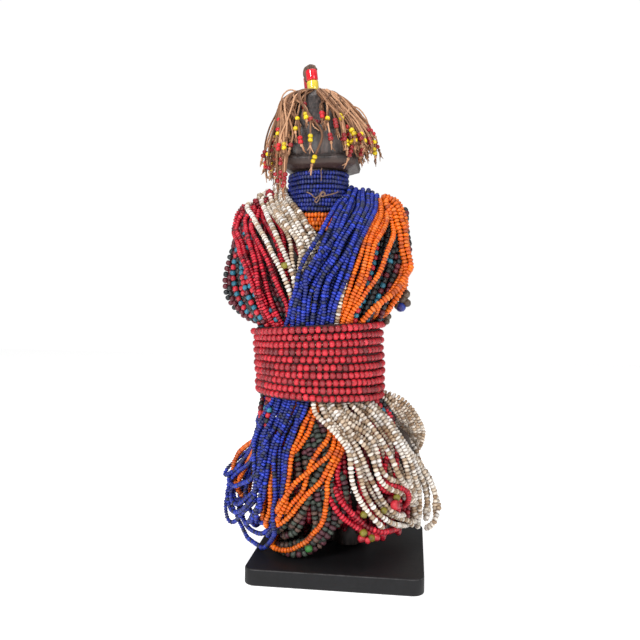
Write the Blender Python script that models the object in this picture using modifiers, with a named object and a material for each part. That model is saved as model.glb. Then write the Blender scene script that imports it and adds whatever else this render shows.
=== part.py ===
"""A beaded fertility doll: a carved wooden figure under hanks of strung beads, on a display base.

Metres, +Z up, the figure faces -Y. The origin is the middle of the base's underside.
The figure and all that hangs on it are built in the figure's own frame: its origin is on
the base's top under the neck, and the whole figure leans a little to the picture's left.
"""

import math

import bmesh
import bpy
from mathutils import Matrix, Vector

# Driving dimensions
BASE_SIDE = 0.1016
BASE_HEIGHT = 0.0095
BASE_CORNER = 0.007
BASE_EASE = 0.0008

FIGURE_HEIGHT = 0.2855
FIGURE_X = -0.0153
FIGURE_Y = 0.0079
LEAN = math.radians(0.9)

NECK_RADIUS = 0.0162
WAIST_RADIUS = 0.0249

STRAND = 0.0032
SEED_BEAD = 0.0031
SEED_PITCH = 0.00285
COLLAR_BULGE = 1.2
BELT_BEAD = 0.0038
BELT_PITCH = 0.00441
BELT_ROWS = 10
BLUE_ROWS = 9
ORANGE_ROWS = 4

TUBE_BEAD_DIAMETER = 0.0074
RED_TUBE_LENGTH = 0.0076
YELLOW_TUBE_LENGTH = 0.0064
BACK_TUBE_LENGTH = 0.0120
TUBE_BORE = 0.0042
TOPKNOT_CORD = 0.0030
TOPKNOT_TILT = math.radians(6.0)

# Clearances: touching pieces, a strand over wood, and a hank over a hank
TOUCH = 0.0003
OVER_WOOD = 0.0005
OVER_HANK = 0.0010

# Facets
BELT_SIDES = 20
NECK_SIDES = 16
BEAD_SIDES = 10

# Worked out from the dimensions above. Carving and drapery are shares of the figure's height.
H = FIGURE_HEIGHT / 0.2855
LAYER = STRAND + OVER_HANK
HANK_STACK = 3 * STRAND + 2 * OVER_HANK
BELT_LOW = 0.0940 * H
BELT_TOP = BELT_LOW + BELT_ROWS * BELT_PITCH
BELT_INNER = WAIST_RADIUS + OVER_WOOD + HANK_STACK + OVER_WOOD
COLLAR_LOW = 0.1945 * H
COLLAR_TOP = COLLAR_LOW + ORANGE_ROWS * SEED_PITCH
NECK_TOP = COLLAR_TOP + BLUE_ROWS * SEED_PITCH + TOUCH
COIL_INNER = NECK_RADIUS + TOUCH
HEAD_LOW = NECK_TOP + TOUCH
CROWN = FIGURE_HEIGHT
HEAD_HEIGHT = CROWN - HEAD_LOW
HIP_X = 0.0100 * H
BESIDE_COLLAR = COIL_INNER + SEED_BEAD * COLLAR_BULGE + OVER_HANK


def clear_scene():
    for thing in list(bpy.data.objects):
        bpy.data.objects.remove(thing, do_unlink=True)


def new_collection(name):
    collection = bpy.data.collections.new(name)
    bpy.context.scene.collection.children.link(collection)
    return collection


def new_material(name, colour, roughness):
    material = bpy.data.materials.new(name)
    material.use_nodes = True
    shader = material.node_tree.nodes["Principled BSDF"]
    shader.inputs["Base Color"].default_value = (*colour, 1.0)
    shader.inputs["Roughness"].default_value = roughness
    shader.inputs["Metallic"].default_value = 0.0
    return material


def new_object(name, mesh, collection, material, parent=None):
    thing = bpy.data.objects.new(name, mesh)
    collection.objects.link(thing)
    thing.data.materials.append(material)
    thing.parent = parent
    return thing


def mesh_from(shape, name):
    bmesh.ops.recalc_face_normals(shape, faces=shape.faces)
    mesh = bpy.data.meshes.new(name)
    shape.to_mesh(mesh)
    shape.free()
    return mesh


def smooth(thing, angle=40.0):
    thing.data.shade_smooth()
    thing.data.set_sharp_from_angle(angle=math.radians(angle))


def blend(low, high, share):
    return low + (high - low) * share


def read_curve(points, place):
    """The value at a place, from (place, value) pairs in rising order, by straight runs."""
    if place <= points[0][0]:
        return points[0][1]
    for (start, low), (end, high) in zip(points, points[1:]):
        if place <= end:
            return blend(low, high, (place - start) / (end - start))
    return points[-1][1]


def loft(rings, name):
    """A closed solid through rings of equal count, each end closed by one flat face."""
    shape = bmesh.new()
    loops = [[shape.verts.new(point) for point in ring] for ring in rings]
    count = len(loops[0])
    for low, high in zip(loops, loops[1:]):
        for index in range(count):
            after = (index + 1) % count
            shape.faces.new((low[index], low[after], high[after], high[index]))
    shape.faces.new(loops[0])
    shape.faces.new(loops[-1])
    return mesh_from(shape, name)


def zip_chains(shape, first, second):
    """Triangles between two chains of points that run the same way."""
    one = 0
    two = 0
    while one < len(first) - 1 or two < len(second) - 1:
        ahead_one = (one + 1) / (len(first) - 1)
        ahead_two = (two + 1) / (len(second) - 1)
        if two == len(second) - 1 or (one < len(first) - 1 and ahead_one <= ahead_two):
            shape.faces.new((first[one], first[one + 1], second[two]))
            one += 1
        else:
            shape.faces.new((first[one], second[two + 1], second[two]))
            two += 1


# The display base

def make_base(collection, material):
    """A square board with rounded upright corners and slightly eased edges."""
    shape = bmesh.new()
    bmesh.ops.create_cube(shape, size=1.0)
    bmesh.ops.scale(shape, vec=(BASE_SIDE, BASE_SIDE, BASE_HEIGHT), verts=shape.verts)
    bmesh.ops.translate(shape, vec=(0.0, 0.0, BASE_HEIGHT / 2), verts=shape.verts)
    upright = [e for e in shape.edges if abs(e.verts[0].co.z - e.verts[1].co.z) > BASE_HEIGHT / 2]
    bmesh.ops.bevel(shape, geom=upright, offset=BASE_CORNER, segments=4, profile=0.5, affect="EDGES")
    thing = new_object("display_base", mesh_from(shape, "display_base"), collection, material)
    ease = thing.modifiers.new("eased_edges", "BEVEL")
    ease.width = BASE_EASE
    ease.segments = 1
    ease.limit_method = "ANGLE"
    ease.angle_limit = math.radians(60.0)
    return thing


# The carved figure

def oval(centre, half_x, half_y, sides, turn=0.0, squareness=2.0):
    """A flat ring of points; squareness 2 is an ellipse and more is boxier."""
    ring = []
    for index in range(sides):
        angle = turn + 2 * math.pi * index / sides
        across = abs(math.sin(angle)) ** squareness + abs(math.cos(angle)) ** squareness
        size = across ** (-1.0 / squareness)
        ring.append(
            Vector((
                centre[0] + half_x * size * math.sin(angle),
                centre[1] - half_y * size * math.cos(angle),
                centre[2],
            ))
        )
    return ring


def trunk_mesh():
    """Waist, chest, neck and underside of the head, as stacked ovals."""
    neck = NECK_RADIUS
    waist = WAIST_RADIUS
    sections = [
        (0.0660 * H, 0.0080 * H, 0.0260 * H, 0.0200 * H),
        (0.0800 * H, 0.0040 * H, 0.0280 * H, 0.0235 * H),
        (BELT_LOW - 0.004 * H, 0.0, waist, waist),
        (BELT_TOP + 0.004 * H, 0.0, waist, waist),
        (0.1640 * H, 0.0, 0.0310 * H, 0.0290 * H),
        (0.1830 * H, 0.0, 0.0305 * H, 0.0245 * H),
        (COLLAR_LOW - TOUCH, 0.0, neck + 0.002 * H, neck + 0.002 * H),
        (COLLAR_LOW - TOUCH / 2, 0.0, neck, neck),
        (HEAD_LOW + 0.0015 * H, 0.0, neck, neck),
    ]
    rings = [oval((x, 0.0, z), half_x, half_y, 16) for z, x, half_x, half_y in sections]
    return loft(rings, "trunk")


def head_mesh():
    """An eight-sided head, widest at its rim and drawn in to a small flat crown."""
    profile = [(0.0, 0.0192), (0.11, 0.0200), (0.12, 0.0222), (0.19, 0.0222), (0.27, 0.0208),
               (0.56, 0.0200), (0.78, 0.0168), (0.93, 0.0120), (1.0, 0.0085)]
    eighth = math.pi / 8
    rings = []
    for share, radius in profile:
        level = HEAD_LOW + share * HEAD_HEIGHT
        size = radius * H / math.cos(eighth)
        rings.append(oval((0.0, 0.0, level), size, size, 8, turn=eighth))
    return loft(rings, "head")


def limb_mesh(name, stations, sides):
    """A limb through rings at (x, y, z, half width, half depth), square to the limb's run."""
    centres = [Vector(station[:3]) for station in stations]
    rings = []
    for index, station in enumerate(stations):
        before = centres[max(index - 1, 0)]
        after = centres[min(index + 1, len(centres) - 1)]
        run = (after - before).normalized()
        depth = Vector((0.0, 1.0, 0.0))
        width = depth.cross(run).normalized()
        ring = []
        for step in range(sides):
            angle = 2 * math.pi * step / sides
            spot = centres[index] + width * station[3] * math.cos(angle)
            ring.append(spot + depth * station[4] * math.sin(angle))
        rings.append(ring)
    return loft(rings, name)


def arm_mesh(side):
    stations = [(0.0130, 0.0, 0.1800, 0.0095, 0.0120), (0.0250, 0.0, 0.1860, 0.0098, 0.0125),
                (0.0345, 0.0, 0.1900, 0.0110, 0.0125), (0.0430, 0.0, 0.1815, 0.0092, 0.0110),
                (0.0470, 0.0, 0.1660, 0.0078, 0.0085), (0.0480, -0.001, 0.1545, 0.0078, 0.0080),
                (0.0400, -0.002, 0.1475, 0.0062, 0.0065), (0.0200, -0.002, 0.1475, 0.0055, 0.0075)]
    scaled = [(side * x * H, y * H, z * H, wide * H, deep * H) for x, y, z, wide, deep in stations]
    return limb_mesh("arm", scaled, 9)


def leg_mesh(side):
    stations = [(0.0060, 0.0, 0.0740, 0.0130, 0.0190), (0.0190, 0.0, 0.0690, 0.0150, 0.0200),
                (0.0320, 0.0, 0.0600, 0.0180, 0.0190), (0.0350, 0.0, 0.0480, 0.0170, 0.0180),
                (0.0250, 0.001, 0.0350, 0.0125, 0.0140), (0.0145, 0.001, 0.0180, 0.0085, 0.0110),
                (0.0098, 0.001, 0.0080, 0.0088, 0.0118), (0.0098, 0.001, -0.0040, 0.0084, 0.0114)]
    scaled = [(HIP_X + side * x * H, y * H, z * H, wide * H, deep * H) for x, y, z, wide, deep in stations]
    return limb_mesh("leg", scaled, 10)


def join(target, tool_mesh, operation, cutters):
    """One boolean step with a hidden tool object."""
    tool = bpy.data.objects.new(target.name + "_tool", tool_mesh)
    cutters.objects.link(tool)
    tool.parent = target.parent
    tool.hide_render = True
    tool.display_type = "WIRE"
    step = target.modifiers.new(operation.lower(), "BOOLEAN")
    step.operation = operation
    step.solver = "EXACT"
    step.object = tool
    return tool


def make_wood_figure(collection, cutters, material, frame):
    figure = new_object("wood_figure", trunk_mesh(), collection, material, frame)
    join(figure, head_mesh(), "UNION", cutters)
    for side in (-1, 1):
        join(figure, leg_mesh(side), "UNION", cutters)
        join(figure, arm_mesh(side), "UNION", cutters)
    shape = bmesh.new()
    bmesh.ops.create_cube(shape, size=BASE_SIDE * 2)
    bmesh.ops.translate(shape, vec=(0.0, 0.0, BASE_HEIGHT + TOUCH - BASE_SIDE), verts=shape.verts)
    floor_cutter = join(figure, mesh_from(shape, "floor_cutter"), "DIFFERENCE", cutters)
    floor_cutter.parent = None
    return figure


# Rows of beads wound round the neck and the waist

def turned_ring(name, outline, sides, collection, material, frame):
    """A ring from a closed outline of (radius, level), which runs down its outer side."""
    shape = bmesh.new()
    points = [shape.verts.new((radius, 0.0, level)) for radius, level in outline]
    for index, point in enumerate(points):
        shape.edges.new((point, points[(index + 1) % len(points)]))
    mesh = bpy.data.meshes.new(name)
    shape.to_mesh(mesh)
    shape.free()
    thing = new_object(name, mesh, collection, material, frame)
    turn = thing.modifiers.new("turn", "SCREW")
    turn.angle = 2 * math.pi
    turn.axis = "Z"
    turn.steps = sides
    turn.render_steps = sides
    turn.use_merge_vertices = True
    turn.merge_threshold = 0.00001
    return thing


def wound_outline(inner, bead, pitch, rows, low, crests):
    """The section of rows of beads: round outside, smooth where it lies on the body."""
    outline = []
    groove = inner + bead * 0.55
    for row in range(rows - 1, -1, -1):
        bottom = low + row * pitch
        outline.append((groove, bottom + pitch * 0.97))
        for crest in range(crests):
            share = (crest + 0.5) / crests
            reach = math.sin(math.pi * (0.2 + 0.6 * share))
            outline.append((blend(groove, inner + bead, reach), bottom + pitch * (1.0 - share)))
    outline.append((groove, low))
    outline.append((inner, low))
    outline.append((inner, low + rows * pitch))
    return outline


def make_wound_rows(collection, materials, frame):
    belt = wound_outline(BELT_INNER, BELT_BEAD, BELT_PITCH, BELT_ROWS, BELT_LOW, 2)
    turned_ring("waist_belt", belt, BELT_SIDES, collection, materials["belt_red"], frame)
    collar = wound_outline(COIL_INNER, SEED_BEAD * COLLAR_BULGE, SEED_PITCH, ORANGE_ROWS, COLLAR_LOW, 1)
    turned_ring("collar_coils_orange", collar, NECK_SIDES, collection, materials["orange"], frame)
    coils = wound_outline(COIL_INNER, SEED_BEAD, SEED_PITCH, BLUE_ROWS, COLLAR_TOP + TOUCH, 1)
    turned_ring("neck_coils_blue", coils, NECK_SIDES, collection, materials["blue"], frame)


# The surface that the hanks lie on, from the hem over the shoulder

def drape_levels():
    """Levels from the hem up to the shoulder's top: height, half depth, half width, middle, topness.

    The sizes are those of the outermost hank's outside. Topness says how far a hank's
    thickness is measured downwards there instead of inwards.
    """
    belt = BELT_INNER - OVER_WOOD
    carved = [
        (0.0110, 0.0480, 0.0640, 0.0075, 0.0),
        (0.0270, 0.0520, 0.0680, 0.0070, 0.0),
        (0.0480, 0.0520, 0.0660, 0.0065, 0.0),
        (0.0690, 0.0480, 0.0570, 0.0060, 0.0),
    ]
    skirt = [tuple(value * H for value in level[:4]) + (level[4],) for level in carved]
    under_belt = [
        (BELT_LOW - 0.0050 * H, belt + 0.0030 * H, belt + 0.0030 * H, 0.0010 * H, 0.0),
        (BELT_LOW, belt, belt, 0.0, 0.0),
        (BELT_TOP, belt, belt, 0.0, 0.0),
    ]
    carved = [
        (0.1480, 0.0405, 0.0530, 0.0, 0.0),
        (0.1640, 0.0420, 0.0595, 0.0, 0.0),
        (0.1830, 0.0390, 0.0580, 0.0, 0.0),
        (0.2000, 0.0310, 0.0540, 0.0, 0.3),
        (0.2130, 0.0180, 0.0530, 0.0, 0.7),
        (0.2235, 0.0000, 0.0530, 0.0, 1.0),
    ]
    chest = [tuple(value * H for value in level[:4]) + (level[4],) for level in carved]
    return skirt + under_belt + chest


SHOULDER_DROP_START = 0.024 * H
SHOULDER_DROP_RATE = 0.52
TOP_LEVEL = 12
BELT_MIDDLE = 5.5


def hank_stations(first, last):
    """Every whole station of a hank, and one more half way under the belt, front and back."""
    middles = [BELT_MIDDLE, 2 * TOP_LEVEL - BELT_MIDDLE]
    return sorted(list(range(first, last + 1)) + [place for place in middles if first < place < last])


def read_level(levels, place):
    """The five numbers of a level, between two levels where the place is not whole."""
    low = levels[int(place)]
    high = levels[min(int(place) + 1, len(levels) - 1)]
    return [blend(one, two, place - int(place)) for one, two in zip(low, high)]


def drape_point(levels, station, x, depth_in):
    """The point at a station (0 is the front hem, 12 the shoulder's top, 24 the back hem)."""
    back = station > TOP_LEVEL
    index = 2 * TOP_LEVEL - station if back else station
    height, deep, wide, middle, topness = read_level(levels, index)
    inwards = depth_in * (1.0 - topness)
    share = max(-0.995, min(0.995, (x - middle) / wide))
    angle = math.asin(share)
    new_x = middle + (wide - inwards) * math.sin(angle)
    new_y = (deep - inwards) * math.cos(angle)
    if not back:
        new_y = -new_y
    drop = max(0.0, abs(x) - SHOULDER_DROP_START) * SHOULDER_DROP_RATE * topness
    return Vector((new_x, new_y, height - drop - depth_in * topness))


def make_hank(name, strands, edges, depths, collection, material, frame, levels):
    """One hank: a ridge for each strand outside, smooth inside, closed at both hems.

    Edges and depths are read by station. Edges are the left and right x of the hank,
    and depths are the distances of its outside and inside below the outermost surface.
    """
    first = edges[0][0]
    last = edges[-1][0]
    inner_count = strands // 3 + 3
    outer_count = 2 * strands + 1
    shape = bmesh.new()
    outer_loops = []
    inner_loops = []
    for station in hank_stations(first, last):
        left = read_curve([(place, left_edge) for place, left_edge, right_edge in edges], station) * H
        right = read_curve([(place, right_edge) for place, left_edge, right_edge in edges], station) * H
        outside = read_curve([(place, out) for place, out, inside in depths], station)
        inside = read_curve([(place, inside) for place, out, inside in depths], station)
        at_hem = station in (first, last)
        outer = []
        for index in range(outer_count):
            groove = index % 2 == 0
            x = blend(left, right, index / (outer_count - 1))
            spot = drape_point(levels, station, x, outside + (STRAND * 0.36 if groove else 0.0))
            if at_hem:
                spot.z += STRAND * (0.5 if groove else -0.3)
            outer.append(shape.verts.new(spot))
        inner = []
        for index in range(inner_count):
            x = blend(left, right, index / (inner_count - 1))
            inner.append(shape.verts.new(drape_point(levels, station, x, inside)))
        outer_loops.append(outer)
        inner_loops.append(inner)
    for rows in (outer_loops, inner_loops):
        for low, high in zip(rows, rows[1:]):
            for index in range(len(low) - 1):
                shape.faces.new((low[index], low[index + 1], high[index + 1], high[index]))
    for side in (0, -1):
        for step in range(len(outer_loops) - 1):
            shape.faces.new((outer_loops[step][side], outer_loops[step + 1][side],
                             inner_loops[step + 1][side], inner_loops[step][side]))
    zip_chains(shape, outer_loops[0], inner_loops[0])
    zip_chains(shape, outer_loops[-1], inner_loops[-1])
    thing = new_object(name, mesh_from(shape, name), collection, material, frame)
    smooth(thing, 70.0)
    return thing


def over_the_shoulder(front):
    """The same rows down the back, in rising order of station."""
    back = [(2 * TOP_LEVEL - row[0],) + row[1:] for row in front if row[0] < TOP_LEVEL]
    return front + back[::-1]


def layer_depths(chest_layer, belt_layer, skirt_layer, shoulder_deep):
    """Outside and inside depth by station for a hank that keeps to layers (0 is outermost)."""
    def spread(layer):
        return layer * LAYER, layer * LAYER + STRAND
    return over_the_shoulder([
        (0, *spread(skirt_layer)), (3, *spread(skirt_layer)), (4, *spread(belt_layer)),
        (6, *spread(belt_layer)), (7, *spread(chest_layer)), (9, *spread(chest_layer)),
        (10, chest_layer * LAYER * 0.5, chest_layer * LAYER * 0.5 + STRAND * 1.7),
        (11, 0.0, shoulder_deep * 0.9), (12, 0.0, shoulder_deep),
    ])


def make_hanks(collection, materials, frame):
    levels = drape_levels()
    deep = 0.0135 * H
    beside = BESIDE_COLLAR / H
    blue = [(0, -0.044, -0.0245), (1, -0.0575, -0.020), (2, -0.0565, -0.018), (3, -0.043, -0.0135),
            (4, -0.0262, -0.0055), (5, -0.0250, -0.0040), (6, -0.0165, 0.0095), (7, -0.0160, 0.0120),
            (8, -0.0125, 0.0192), (9, -0.0030, 0.0270), (10, 0.0085, 0.0330), (11, 0.0175, 0.0370),
            (12, beside, 0.0375)]
    orange = [(0, -0.0238, -0.001), (1, -0.0193, 0.0060), (2, -0.0172, 0.0120), (3, -0.0127, 0.0110),
              (4, -0.0047, 0.0060), (5, -0.0032, 0.0065), (6, 0.0105, 0.0240), (7, 0.0130, 0.0335),
              (8, 0.0202, 0.0500), (9, 0.0280, 0.0493), (10, 0.0340, 0.0492), (11, 0.0380, 0.0480),
              (12, 0.0385, 0.0470)]
    cream = [(1, 0.0295, 0.0705), (2, 0.0215, 0.0640), (3, 0.0170, 0.0480), (4, 0.0072, 0.0350),
             (5, 0.0020, 0.0290), (6, -0.0090, 0.0120), (7, -0.0120, 0.0080), (8, -0.0190, 0.0020),
             (9, -0.0280, -0.0010), (10, -0.0360, -0.0060), (11, -0.0385, -0.0170), (12, -0.0375, -beside)]
    red = [(1, 0.0150, 0.0330), (2, 0.0150, 0.0300), (3, 0.0150, 0.0290), (4, 0.0000, 0.0120),
           (5, -0.0100, 0.0010), (6, -0.0250, -0.0135), (7, -0.0300, -0.0130), (8, -0.0364, -0.0200),
           (9, -0.0450, -0.0290), (10, -0.0460, -0.0370), (11, -0.0450, -0.0395), (12, -0.0445, -0.0385)]
    mixed_left = [(1, -0.0480, -0.0260), (2, -0.0480, -0.0260), (3, -0.0400, -0.0220),
                  (4, -0.0290, -0.0150), (5, -0.0270, -0.0160), (6, -0.0330, -0.0270),
                  (7, -0.0485, -0.0320), (8, -0.0590, -0.0380), (9, -0.0575, -0.0462),
                  (10, -0.0535, -0.0470), (11, -0.0525, -0.0460), (12, -0.0525, -0.0455)]
    mixed_right = [(row[0], -row[2] + shift, -row[1] + shift) for row, shift in
                   zip(mixed_left, (0.008, 0.008, 0.006, 0.004, 0.0, 0.0, 0.0, 0.0, 0.0, 0.0, 0.0, 0.0))]
    mixed_right[-6:] = [(7, 0.0320, 0.0430), (8, 0.0380, 0.0515), (9, 0.0503, 0.0545),
                        (10, 0.0504, 0.0532), (11, 0.0488, 0.0527), (12, 0.0480, 0.0527)]
    rows = [
        ("blue_hank", 8, blue, layer_depths(0, 0, 0, deep), "blue"),
        ("orange_hank", 5, orange, layer_depths(0, 0, 1, deep), "orange"),
        ("cream_hank", 7, cream, layer_depths(1, 1, 0, deep), "cream"),
        ("red_hank", 5, red, layer_depths(1, 2, 1, deep), "red"),
        ("mixed_hank_left", 4, mixed_left, layer_depths(0, 2, 2, deep * 0.6), "mixed"),
        ("mixed_hank_right", 4, mixed_right, layer_depths(1, 2, 2, deep * 0.6), "mixed"),
    ]
    for name, strands, edges, depths, colour in rows:
        make_hank(name, strands, over_the_shoulder(edges), depths, collection, materials[colour], frame, levels)


def make_dark_loops(collection, material, frame):
    """Short loops of large dark beads, front and back, the lowest things under the skirt."""
    levels = drape_levels()
    edges = [(0, -0.024, 0.024), (1, -0.022, 0.022), (2, -0.018, 0.020), (3, -0.014, 0.016)]
    inside = 2 * LAYER + STRAND
    depths = [(0, 2 * LAYER, inside), (3, 2 * LAYER, inside)]
    make_hank("dark_loops_front", 7, edges, depths, collection, material, frame, levels)
    back = [(2 * TOP_LEVEL - station, left, right) for station, left, right in edges][::-1]
    back_depths = [(2 * TOP_LEVEL - station, out, deep) for station, out, deep in depths][::-1]
    make_hank("dark_loops_back", 7, back, back_depths, collection, material, frame, levels)


# The fringe of fibre cords and the topknot

HAIR_OPEN = math.radians(22.0)
HAIR_LOCKS = 13
HAIR_OUTER = [(0.0132, 0.2872), (0.0205, 0.2815), (0.0275, 0.2710), (0.0335, 0.2600), (0.0380, 0.2500),
              (0.0360, 0.2400)]
HAIR_INNER = [(0.0270, 0.2395), (0.0244, 0.2560), (0.0200, 0.2745), (0.0160, 0.2815),
              (0.0132, 0.2846)]
HAIR_SIDE_SHIFT = 0.0035


def make_hair(collection, material, frame):
    """A bell of locks round the head, open over the face, fuller and shorter at the right."""
    shape = bmesh.new()
    steps = 2 * HAIR_LOCKS
    loops = []
    for step in range(steps + 1):
        angle = blend(HAIR_OPEN, 2 * math.pi - HAIR_OPEN, step / steps)
        lock = 0.0010 if step % 2 else -0.0007
        side = math.sin(angle)
        loop = []
        for index, (radius, level) in enumerate(HAIR_OUTER):
            share = index / (len(HAIR_OUTER) - 1)
            reach = radius + lock * share + HAIR_SIDE_SHIFT * side * share
            height = level + (0.0035 * side - 1.5 * lock) * share * share
            loop.append(Vector((reach * side, -reach * math.cos(angle), height)) * H)
        for index, (radius, level) in enumerate(HAIR_INNER):
            loop.append(Vector((radius * side, -radius * math.cos(angle), level)) * H)
        loops.append([shape.verts.new(point) for point in loop])
    count = len(loops[0])
    for low, high in zip(loops, loops[1:]):
        for index in range(count):
            after = (index + 1) % count
            shape.faces.new((low[index], low[after], high[after], high[index]))
    outer = len(HAIR_OUTER)
    for loop in (loops[0], loops[-1]):
        zip_chains(shape, loop[:outer], loop[outer:][::-1])
    thing = new_object("hair_fringe", mesh_from(shape, "hair_fringe"), collection, material, frame)
    smooth(thing, 60.0)


def tube_bead(name, length, place, collection, material, frame):
    """A short glass tube with a bore, standing on its lower end at a place."""
    outer = TUBE_BEAD_DIAMETER / 2
    bore = TUBE_BORE / 2
    ease = length * 0.08
    outline = [(outer - ease, length), (outer, length - ease), (outer, ease), (outer - ease, 0.0),
               (bore, 0.0), (bore, length)]
    thing = turned_ring(name, outline, BEAD_SIDES, collection, material, frame)
    thing.location = place
    thing.rotation_euler = (0.0, -TOPKNOT_TILT, 0.0)
    return thing


def make_topknot(collection, materials, frame):
    """Two columns of tube beads on one cord, which is knotted over them."""
    up = Vector((-math.sin(TOPKNOT_TILT), 0.0, math.cos(TOPKNOT_TILT)))
    lift = TUBE_BEAD_DIAMETER / 2 * math.sin(TOPKNOT_TILT) + TOUCH
    front_foot = Vector((-0.0030 * H, -0.0018 * H, CROWN + lift))
    apart = TUBE_BEAD_DIAMETER + TOUCH
    toward_back = Vector((-math.cos(TOPKNOT_TILT) * 0.35, 0.937, -math.sin(TOPKNOT_TILT) * 0.35))
    back_foot = front_foot + toward_back * apart
    back_foot += up * ((CROWN + lift - back_foot.z) / up.z)
    tube_bead("topknot_bead_yellow", YELLOW_TUBE_LENGTH, front_foot, collection, materials["yellow"], frame)
    red_foot = front_foot + up * (YELLOW_TUBE_LENGTH + TOUCH)
    tube_bead("topknot_bead_red", RED_TUBE_LENGTH, red_foot, collection, materials["red"], frame)
    tube_bead("topknot_bead_back", BACK_TUBE_LENGTH, back_foot, collection, materials["red"], frame)
    make_topknot_cord(front_foot, back_foot, up, collection, materials["leather"], frame)


def make_topknot_cord(front_foot, back_foot, up, collection, material, frame):
    """The cord: up through the front beads, a thick knot, and down through the back bead."""
    front_top = front_foot + up * (YELLOW_TUBE_LENGTH + RED_TUBE_LENGTH + 2 * TOUCH)
    back_top = back_foot + up * (BACK_TUBE_LENGTH + TOUCH)
    across = (back_top - front_top).normalized()
    knot = TOPKNOT_CORD
    points = [
        (front_foot, 1.0),
        (front_top - up * TOUCH, 1.0),
        (front_top + up * knot * 0.95, 1.9),
        (front_top + up * knot * 1.25 + across * knot * 0.4, 2.1),
        (front_top.lerp(back_top, 0.55) + up * knot * 1.3, 1.7),
        (back_top + up * knot * 1.0, 1.5),
        (back_top - up * TOUCH, 1.0),
        (back_foot, 1.0),
    ]
    curve = bpy.data.curves.new("topknot_cord", "CURVE")
    curve.dimensions = "3D"
    curve.bevel_depth = TOPKNOT_CORD / 2
    curve.bevel_resolution = 2
    curve.use_fill_caps = True
    spline = curve.splines.new("POLY")
    spline.points.add(len(points) - 1)
    for target, (spot, size) in zip(spline.points, points):
        target.co = (*spot, 1.0)
        target.radius = size
    new_object("topknot_cord", curve, collection, material, frame)


def make_materials():
    return {
        "base": new_material("base_black", (0.012, 0.012, 0.013), 0.5),
        "wood": new_material("carved_wood", (0.070, 0.052, 0.045), 0.65),
        "blue": new_material("blue_bead", (0.025, 0.035, 0.42), 0.4),
        "orange": new_material("orange_bead", (0.90, 0.16, 0.012), 0.4),
        "cream": new_material("cream_bead", (0.76, 0.67, 0.55), 0.45),
        "red": new_material("red_bead", (0.56, 0.012, 0.045), 0.4),
        "belt_red": new_material("belt_red_bead", (0.62, 0.03, 0.05), 0.4),
        "mixed": new_material("mixed_bead", (0.16, 0.035, 0.05), 0.45),
        "dark": new_material("dark_bead", (0.05, 0.06, 0.05), 0.5),
        "yellow": new_material("yellow_bead", (0.90, 0.70, 0.10), 0.35),
        "fibre": new_material("fibre_cord", (0.36, 0.21, 0.12), 0.8),
        "leather": new_material("dark_leather", (0.06, 0.045, 0.04), 0.7),
    }


def main():
    clear_scene()
    parts = new_collection("beaded_fertility_doll")
    cutters = new_collection("cutters")
    materials = make_materials()
    make_base(parts, materials["base"])
    frame = bpy.data.objects.new("figure_frame", None)
    parts.objects.link(frame)
    frame.matrix_world = (
        Matrix.Translation((FIGURE_X, FIGURE_Y, BASE_HEIGHT)) @ Matrix.Rotation(-LEAN, 4, "Y")
    )
    make_wood_figure(parts, cutters, materials["wood"], frame)
    make_wound_rows(parts, materials, frame)
    make_hanks(parts, materials, frame)
    make_dark_loops(parts, materials["dark"], frame)
    make_hair(parts, materials["fibre"], frame)
    make_topknot(parts, materials, frame)
    bpy.context.view_layer.update()


main()
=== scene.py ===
"""The look of the beaded fertility doll: single beads on their strands, carved wood, fibre and base."""

import math
import random

import bmesh
import bpy
import numpy as np
from mathutils import Matrix, Vector, kdtree, noise


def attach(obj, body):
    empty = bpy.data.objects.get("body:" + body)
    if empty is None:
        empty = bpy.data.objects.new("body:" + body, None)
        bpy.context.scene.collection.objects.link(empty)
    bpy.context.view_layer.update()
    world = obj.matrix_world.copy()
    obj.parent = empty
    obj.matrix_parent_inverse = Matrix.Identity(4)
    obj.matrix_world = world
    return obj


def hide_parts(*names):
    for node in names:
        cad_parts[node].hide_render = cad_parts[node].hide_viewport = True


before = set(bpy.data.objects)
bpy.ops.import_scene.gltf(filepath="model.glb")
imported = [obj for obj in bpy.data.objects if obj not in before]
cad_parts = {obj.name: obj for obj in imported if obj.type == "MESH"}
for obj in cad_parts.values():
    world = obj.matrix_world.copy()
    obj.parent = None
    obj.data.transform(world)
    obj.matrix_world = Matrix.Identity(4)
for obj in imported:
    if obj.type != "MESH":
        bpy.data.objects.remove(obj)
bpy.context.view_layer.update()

# The figure's own frame, as in the part: under the neck, on the base's top, leaning a little
BASE_SIDE = 0.1016
BASE_HEIGHT = 0.0095
BASE_CORNER = 0.007
BASE_RIM = 0.0009
FIGURE_X = -0.0153
FIGURE_Y = 0.0079
LEAN = math.radians(0.9)
FIGURE = Matrix.Translation((FIGURE_X, FIGURE_Y, BASE_HEIGHT)) @ Matrix.Rotation(-LEAN, 4, "Y")
TO_FIGURE = FIGURE.inverted()

STRAND = 0.0032
HIDDEN_END = 0.006
LAYER = 0.0042
NECK_RADIUS = 0.0162
SEED_PITCH = 0.00285
BELT_LOW = 0.0940
BELT_PITCH = 0.00441
BELT_ROWS = 10
BELT_TOP = BELT_LOW + BELT_ROWS * BELT_PITCH
BELT_INNER = 0.0375
COLLAR_LOW = 0.1945
ORANGE_ROWS = 4
BLUE_ROWS = 9
COLLAR_TOP = COLLAR_LOW + ORANGE_ROWS * SEED_PITCH
NECK_TOP = COLLAR_TOP + BLUE_ROWS * SEED_PITCH
HEAD_LOW = NECK_TOP + 0.0006
CROWN = 0.2840
HIP_X = 0.0100
BELT_MIDDLE = (BELT_LOW + BELT_TOP) / 2

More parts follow.
